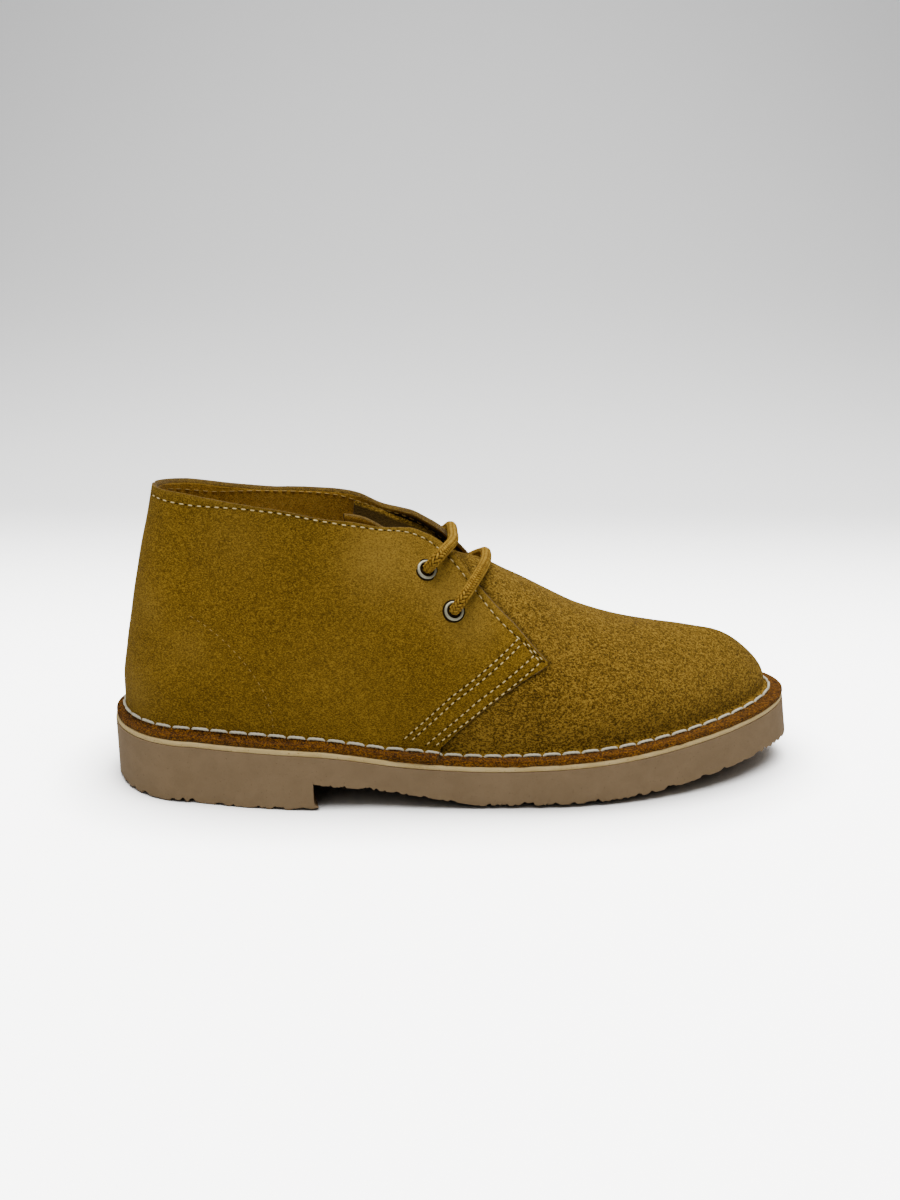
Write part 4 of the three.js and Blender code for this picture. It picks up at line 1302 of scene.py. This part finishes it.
def throughPoints(points, spacing):
    # a centripetal Catmull-Rom curve, sampled evenly
    points = np.array(points, float)
    points = np.concatenate([[2 * points[0] - points[1]], points, [2 * points[-1] - points[-2]]])
    made = []
    for a, b, c, d in zip(points[:-3], points[1:-2], points[2:-1], points[3:]):
        t0 = 0
        t1 = t0 + np.linalg.norm(b - a) ** 0.5
        t2 = t1 + np.linalg.norm(c - b) ** 0.5
        t3 = t2 + np.linalg.norm(d - c) ** 0.5
        t = np.linspace(t1, t2, 40, endpoint=False)[:, None]
        ab, bc = mix(a, b, (t - t0) / (t1 - t0)), mix(b, c, (t - t1) / (t2 - t1))
        cd = mix(c, d, (t - t2) / (t3 - t2))
        abc, bcd = mix(ab, bc, (t - t0) / (t2 - t0)), mix(bc, cd, (t - t1) / (t3 - t1))
        made.append(mix(abc, bcd, (t - t1) / (t2 - t1)))
    line = np.concatenate(made + [points[-2:-1]])
    size = lengthsAlong(line)
    at = np.linspace(0, size[-1], int(size[-1] / spacing) + 1)
    return pickAlong(line, size, at), at


lace = {
    "diameter": 4.8, "strands": 8, "pitch": 11.0, "spacing": 0.35, "strandWide": 0.47, "strandThick": 0.42,
    "weave": 0.24, "sides": 6,
    "upper": {
        lateral: [(140.6, 28.6, 103), (143.6, 23.6, 105), (147, 12, 106)],
        medial: [(144, 25.5, 102), (146.6, 18, 105.5), (147.3, 2, 106.2)],
    },
    "lower": {
        lateral: [(150.8, 33.2, 87.8), (154.2, 28, 91.2), (158.4, 18.5, 95), (161, 7, 96.3)],
        medial: [(157.2, 28.4, 89.4), (160.2, 20.6, 92.8), (161.8, 14.2, 94.9), (161.9, 5, 96.3)],
    },
    "passes": (-7.4, -4.6, -1.6, 1.6), "shift": (0.2, 0.2, 0.6, 1.0),
    "startTail": (-5, -1, 7), "endTail": (-7, -1, 4),
}


def laceRoute():
    def half(side, name):
        centre, normal = eyeletSeat(side, name)
        bar = [np.array([x, side * reach, z]) for x, reach, z in lace[name][side]]
        toward = bar[0] - centre
        toward = unit(toward - normal * np.dot(toward, normal))
        return [centre + normal * height + toward * shift
                for height, shift in zip(lace["passes"], lace["shift"])] + bar

    lower = half(medial, "lower") + half(lateral, "lower")[::-1]
    upper = half(lateral, "upper") + half(medial, "upper")[::-1]
    return [lower[0] + lace["startTail"]] + lower + upper + [upper[-1] + lace["endTail"]]


def makeLace():
    path, at = throughPoints(laceRoute(), lace["spacing"])
    ahead, side, upward = frameAlong(path)
    radius = lace["diameter"] / 2 - lace["strandThick"] - lace["weave"]
    ring = np.linspace(0, 2 * np.pi, lace["sides"], endpoint=False)
    parts = []
    tones = np.random.default_rng(5).uniform(0, 1, 2 * lace["strands"])
    for family, way in enumerate((1, -1)):
        for k in range(lace["strands"]):
            crossing = 2 * lace["strands"] * at / lace["pitch"]
            meet = 2 * k + way * crossing
            over = way * np.cos(np.pi * (meet - 0.5) / 2)
            over = np.tanh(over * 2)
            angle = way * 2 * np.pi * at / lace["pitch"] + 2 * np.pi * k / lace["strands"]
            out = side * np.cos(angle)[:, None] + upward * np.sin(angle)[:, None]
            centre = path + out * (radius + lace["weave"] * over)[:, None]
            run = unit(np.gradient(centre, axis=0))
            flat = unit(np.cross(out, run))
            points = centre[:, None] + lace["strandWide"] * np.cos(ring)[None, :, None] * flat[:, None] \
                + lace["strandThick"] * np.sin(ring)[None, :, None] * out[:, None]
            # painted shade where each strand dives under the others and painted highlight on its crest, on
            # top of its own tone
            tone = np.clip(0.32 + 0.1 * tones[family * lace["strands"] + k] + 0.36 * over, 0, 1)
            parts.append(gridPart(points, around=True, tone=np.broadcast_to(tone[:, None], points.shape[:2])))
    # a dark core of painted shade, seen in the gaps between the strands
    coreRing = np.linspace(0, 2 * np.pi, 14, endpoint=False)
    core = path[:, None] + (radius - 0.1) * (
        np.cos(coreRing)[None, :, None] * side[:, None] + np.sin(coreRing)[None, :, None] * upward[:, None])
    parts.append(gridPart(core, 1, around=True, tone=0.0))
    return makePiece("lace_braid", parts, [laceYarn, needleShadow], ["lace"], None, 1e-6)


# Stitches: each one stands up in the middle and dips into the leather at both ends
def stitchMesh(starts, ends, normals, radius, lift, sides, steps, twist=0.0, sink=0.5):
    parts = []
    ring = np.linspace(0, 2 * np.pi, sides, endpoint=False)
    share = np.linspace(0, 1, steps)
    rise = lift * (1 - (2 * share - 1) ** 4) - sink * (np.abs(2 * share - 1) ** 6)
    for start, end, normal in zip(starts, ends, normals):
        run = unit(end - start)
        flat = unit(np.cross(normal, run))
        line = mix(start[None], end[None], share[:, None]) + normal * rise[:, None]
        tangent = unit(np.gradient(line, axis=0))
        out = np.cross(tangent, flat)
        thick = radius * (1 - 0.35 * np.abs(2 * share - 1) ** 5)
        ply = 1 + 0.14 * np.cos(2 * (ring[None] - twist * share[:, None] * 2 * np.pi)) * (twist > 0)
        points = line[:, None] + (thick[:, None] * ply)[..., None] * (
            np.cos(ring)[None, :, None] * flat[None, None] + np.sin(ring)[None, :, None] * out[:, None])
        tip, tail = points[:1].mean(1, keepdims=True), points[-1:].mean(1, keepdims=True)
        closed = [np.broadcast_to(end, points[:1].shape) for end in (tip, tail)]
        points = np.concatenate([closed[0], points, closed[1]])
        parts.append(gridPart(points, around=True))
    return parts


seamStitch = {
    "pitch": 3.05, "length": 1.6, "insideLength": 2.5, "radius": 0.27, "lift": 0.16,
    "hole": 0.32, "holeLong": 0.62,
}
# rows that differ: the distance between stitches, and how thin they are
rowPitch = {"collar": 3.7, "counter": 3.1}
rowThin = {"counter": 0.6}


def evenly(points, pitch):
    size = lengthsAlong(points)
    count = max(int(round(size[-1] / pitch)), 1)
    return pickAlong(points, size, np.linspace(0, size[-1], count + 1))


def rowOnWall(side, line):
    fine = smoothLine(line, 160) if len(line) > 3 else np.array(line, float)
    if len(line) <= 3:
        share = np.linspace(0, 1, 60)[:, None]
        fine = np.concatenate([mix(a, b, share) for a, b in zip(fine[:-1], fine[1:])])
    return onWall(side, fine[:, 0], fine[:, 1], quarter["step"])


def makeSeams(side):
    stitches, subtle, holes = [], [], []
    for name, line in seams.items():
        i, p = rowOnWall(side, line)
        track = sectionPoint(side, i, p, quarterHeight(side, i, p))
        normal = lastNormal(side, i, np.maximum(p, 0))
        both = evenly(np.concatenate([track, normal], 1), 1.0)
        size = lengthsAlong(both[:, :3])
        pitch = rowPitch.get(name, seamStitch["pitch"])
        count = max(int(size[-1] / pitch), 1)
        marks = np.arange(count + 1) * size[-1] / count
        middle = (marks[:-1] + marks[1:]) / 2
        half = seamStitch["length"] / 2 * (pitch / seamStitch["pitch"])
        start, end, centre = (pickAlong(both, size, middle + way) for way in (-half, half, 0))
        thin = rowThin.get(name, 1)
        row = stitchMesh(start[:, :3], end[:, :3], unit(centre[:, 3:]), seamStitch["radius"] * thin,
                         seamStitch["lift"] * thin, 6, 7)
        if thin < 1:
            subtle += row
            continue
        stitches += row
        before, mark, after = (pickAlong(both, size, marks + way) for way in (-0.3, 0, 0.3))
        run = unit(after[:, :3] - before[:, :3])
        holes += holeMesh(mark[:, :3], unit(mark[:, 3:]), run, seamStitch["hole"], seamStitch["holeLong"])
        if name == "collar":
            lining = sectionPoint(side, i, p, quarter["lining"])
            subtle += insideStitches(evenly(np.concatenate([lining, -normal], 1), 1.0), pitch)
    for part in subtle:
        part["slots"] = part["slots"] + 1
    tag = "lateral" if side == lateral else "medial"
    makePiece(f"seam_stitches_{tag}", stitches + subtle, [seamThread, paleThread], (), None, 1e-6)
    makePiece(f"needle_holes_{tag}", holes, [needleShadow], (), None, 1e-6)


def insideStitches(track, pitch):
    size = lengthsAlong(track[:, :3])
    count = int(size[-1] / pitch)
    middle = (np.arange(count) + 0.5) * size[-1] / count
    half = seamStitch["insideLength"] / 2
    start, end, centre = (pickAlong(track, size, middle + way) for way in (-half, half, 0))
    return stitchMesh(start[:, :3], end[:, :3], unit(centre[:, 3:]), seamStitch["radius"],
                      seamStitch["lift"], 6, 7)


def holeMesh(centres, normals, runs, radius, longRadius):
    # dark discs of painted shade that cover the needle holes
    parts = []
    ring = np.linspace(0, 2 * np.pi, 8, endpoint=False)
    for centre, normal, run in zip(centres, normals, runs):
        flat = unit(np.cross(normal, run))
        rows = []
        for share, height in ((1.0, -0.25), (0.9, 0.03), (0.45, 0.07), (0.0, 0.08)):
            rows.append(centre + height * normal + share * (
                longRadius * np.cos(ring)[:, None] * run + radius * np.sin(ring)[:, None] * flat))
        parts.append(gridPart(np.array(rows), around=True))
    return parts


weltStitch = {"pitch": 8.1, "length": 7.4, "radius": 0.56, "lift": 0.35, "ply": 2.2}


def makeWeltStitches():
    i = np.linspace(0, lastStation, 900)
    lines = []
    for side, order in ((lateral, slice(None, None, -1)), (medial, slice(1, None))):
        x = stationX(i)
        p = weltPlace(x)
        onQuarter = layersOn(x, p) * (1 - smooth(quarter["edgeX"] - 1, quarter["edgeX"] + 2, x))
        height = 0.25 + quarter["step"] * onQuarter
        here = sectionPoint(side, i, p, height)
        above = sectionPoint(side, i, p, height + 0.5)
        lines.append(np.concatenate([here, unit(above - here)], 1)[order])
    track = np.concatenate(lines)
    size = lengthsAlong(track[:, :3])
    count = int(round(size[-1] / weltStitch["pitch"]))
    middle = (np.arange(count) + 0.5) * size[-1] / count
    half = weltStitch["length"] / 2
    parts = []
    for place in middle:
        three = pickAlong(track, size, np.array([place - half, place, place + half]))
        parts += stitchMesh(three[:1, :3], three[2:, :3], unit(three[1:2, 3:]), weltStitch["radius"],
                            weltStitch["lift"], 12, 17, weltStitch["ply"], 0.9)
    return makePiece("welt_stitches", parts, [weltThread], (), None, 1e-6)


# Everything on the boot
makeOutsole()
makeMidsole()
makeInsole()
makeVamp()
for side in (lateral, medial):
    makeQuarter(side)
    makeSeams(side)
    for name in ("upper", "lower"):
        makeEyelet(side, name)
makeLace()
makeWeltStitches()
print("pieces ready")

# Floor and backdrop: one seamless sheet of paper
sweep = {"front": -2.2, "bend": 0.55, "radius": 1.3, "height": 3.4, "half": 3.2}


def makeSweep():
    profile = [(sweep["front"], 0.0), (0.0, 0.0), (sweep["bend"] * 0.6, 0.0)]
    for a in np.linspace(0, math.pi / 2, 24):
        profile.append((sweep["bend"] + sweep["radius"] * math.sin(a), sweep["radius"] * (1 - math.cos(a))))
    profile.append((sweep["bend"] + sweep["radius"], sweep["height"]))
    xs = np.linspace(-sweep["half"], sweep["half"], 9)
    vertices = [(x, y, z) for y, z in profile for x in xs]
    wide = len(xs)
    faces = [(r * wide + c, r * wide + c + 1, (r + 1) * wide + c + 1, (r + 1) * wide + c)
             for r in range(len(profile) - 1) for c in range(wide - 1)]
    mesh = bpy.data.meshes.new("paper_sweep")
    mesh.from_pydata(vertices, [], faces)
    mesh.shade_smooth()
    mesh.materials.append(paper)
    sheet = bpy.data.objects.new("paper_sweep", mesh)
    bpy.context.scene.collection.objects.link(sheet)


makeSweep()

# Light: one wide soft source above, a weaker one in front, and an even sky
lights = [
    {"name": "overhead", "place": (0.05, -0.1, 1.5), "aim": (0, 0, 0), "size": 1.3, "power": 44,
     "color": (1, 0.99, 0.97)},
    {"name": "front", "place": (-0.8, -1.6, 0.9), "aim": (0, 0, 0.05), "size": 1.4, "power": 2,
     "color": (1, 1, 1)},
]


def addLight(row):
    data = bpy.data.lights.new(row["name"], "AREA")
    data.shape = "SQUARE"
    data.size = row["size"]
    data.energy = row["power"]
    data.color = row["color"]
    lamp = bpy.data.objects.new(row["name"], data)
    lamp.location = row["place"]
    direction = Vector(row["aim"]) - Vector(row["place"])
    lamp.rotation_euler = direction.to_track_quat("-Z", "Y").to_euler()
    bpy.context.scene.collection.objects.link(lamp)


for row in lights:
    addLight(row)
skyLook = {"Color": (0.93, 0.95, 1, 1), "Strength": 0.14}
sky = bpy.data.worlds.new("studio")
sky.use_nodes = True
for label, value in skyLook.items():
    sky.node_tree.nodes["Background"].inputs[label].default_value = value
bpy.context.scene.world = sky

# Camera, as the photograph was taken
view = {"place": (-0.01227, -0.39011, 0.19652), "yaw": 1.08, "pitch": 17.22, "roll": -0.58, "lens": 28.06}


def addCamera():
    yaw, pitch, roll = (math.radians(view[name]) for name in ("yaw", "pitch", "roll"))
    right = Vector((math.cos(yaw), -math.sin(yaw), 0))
    upward = Vector((math.sin(yaw) * math.sin(pitch), math.cos(yaw) * math.sin(pitch), math.cos(pitch)))
    ahead = Vector((math.sin(yaw) * math.cos(pitch), math.cos(yaw) * math.cos(pitch), -math.sin(pitch)))
    axisX = math.cos(roll) * right - math.sin(roll) * upward
    axisY = math.sin(roll) * right + math.cos(roll) * upward
    data = bpy.data.cameras.new("camera")
    data.sensor_width = 36
    data.lens = view["lens"]
    camera = bpy.data.objects.new("camera", data)
    turn = Matrix((axisX, axisY, -ahead)).transposed().to_4x4()
    camera.matrix_world = Matrix.Translation(view["place"]) @ turn
    bpy.context.scene.collection.objects.link(camera)
    bpy.context.scene.camera = camera


addCamera()
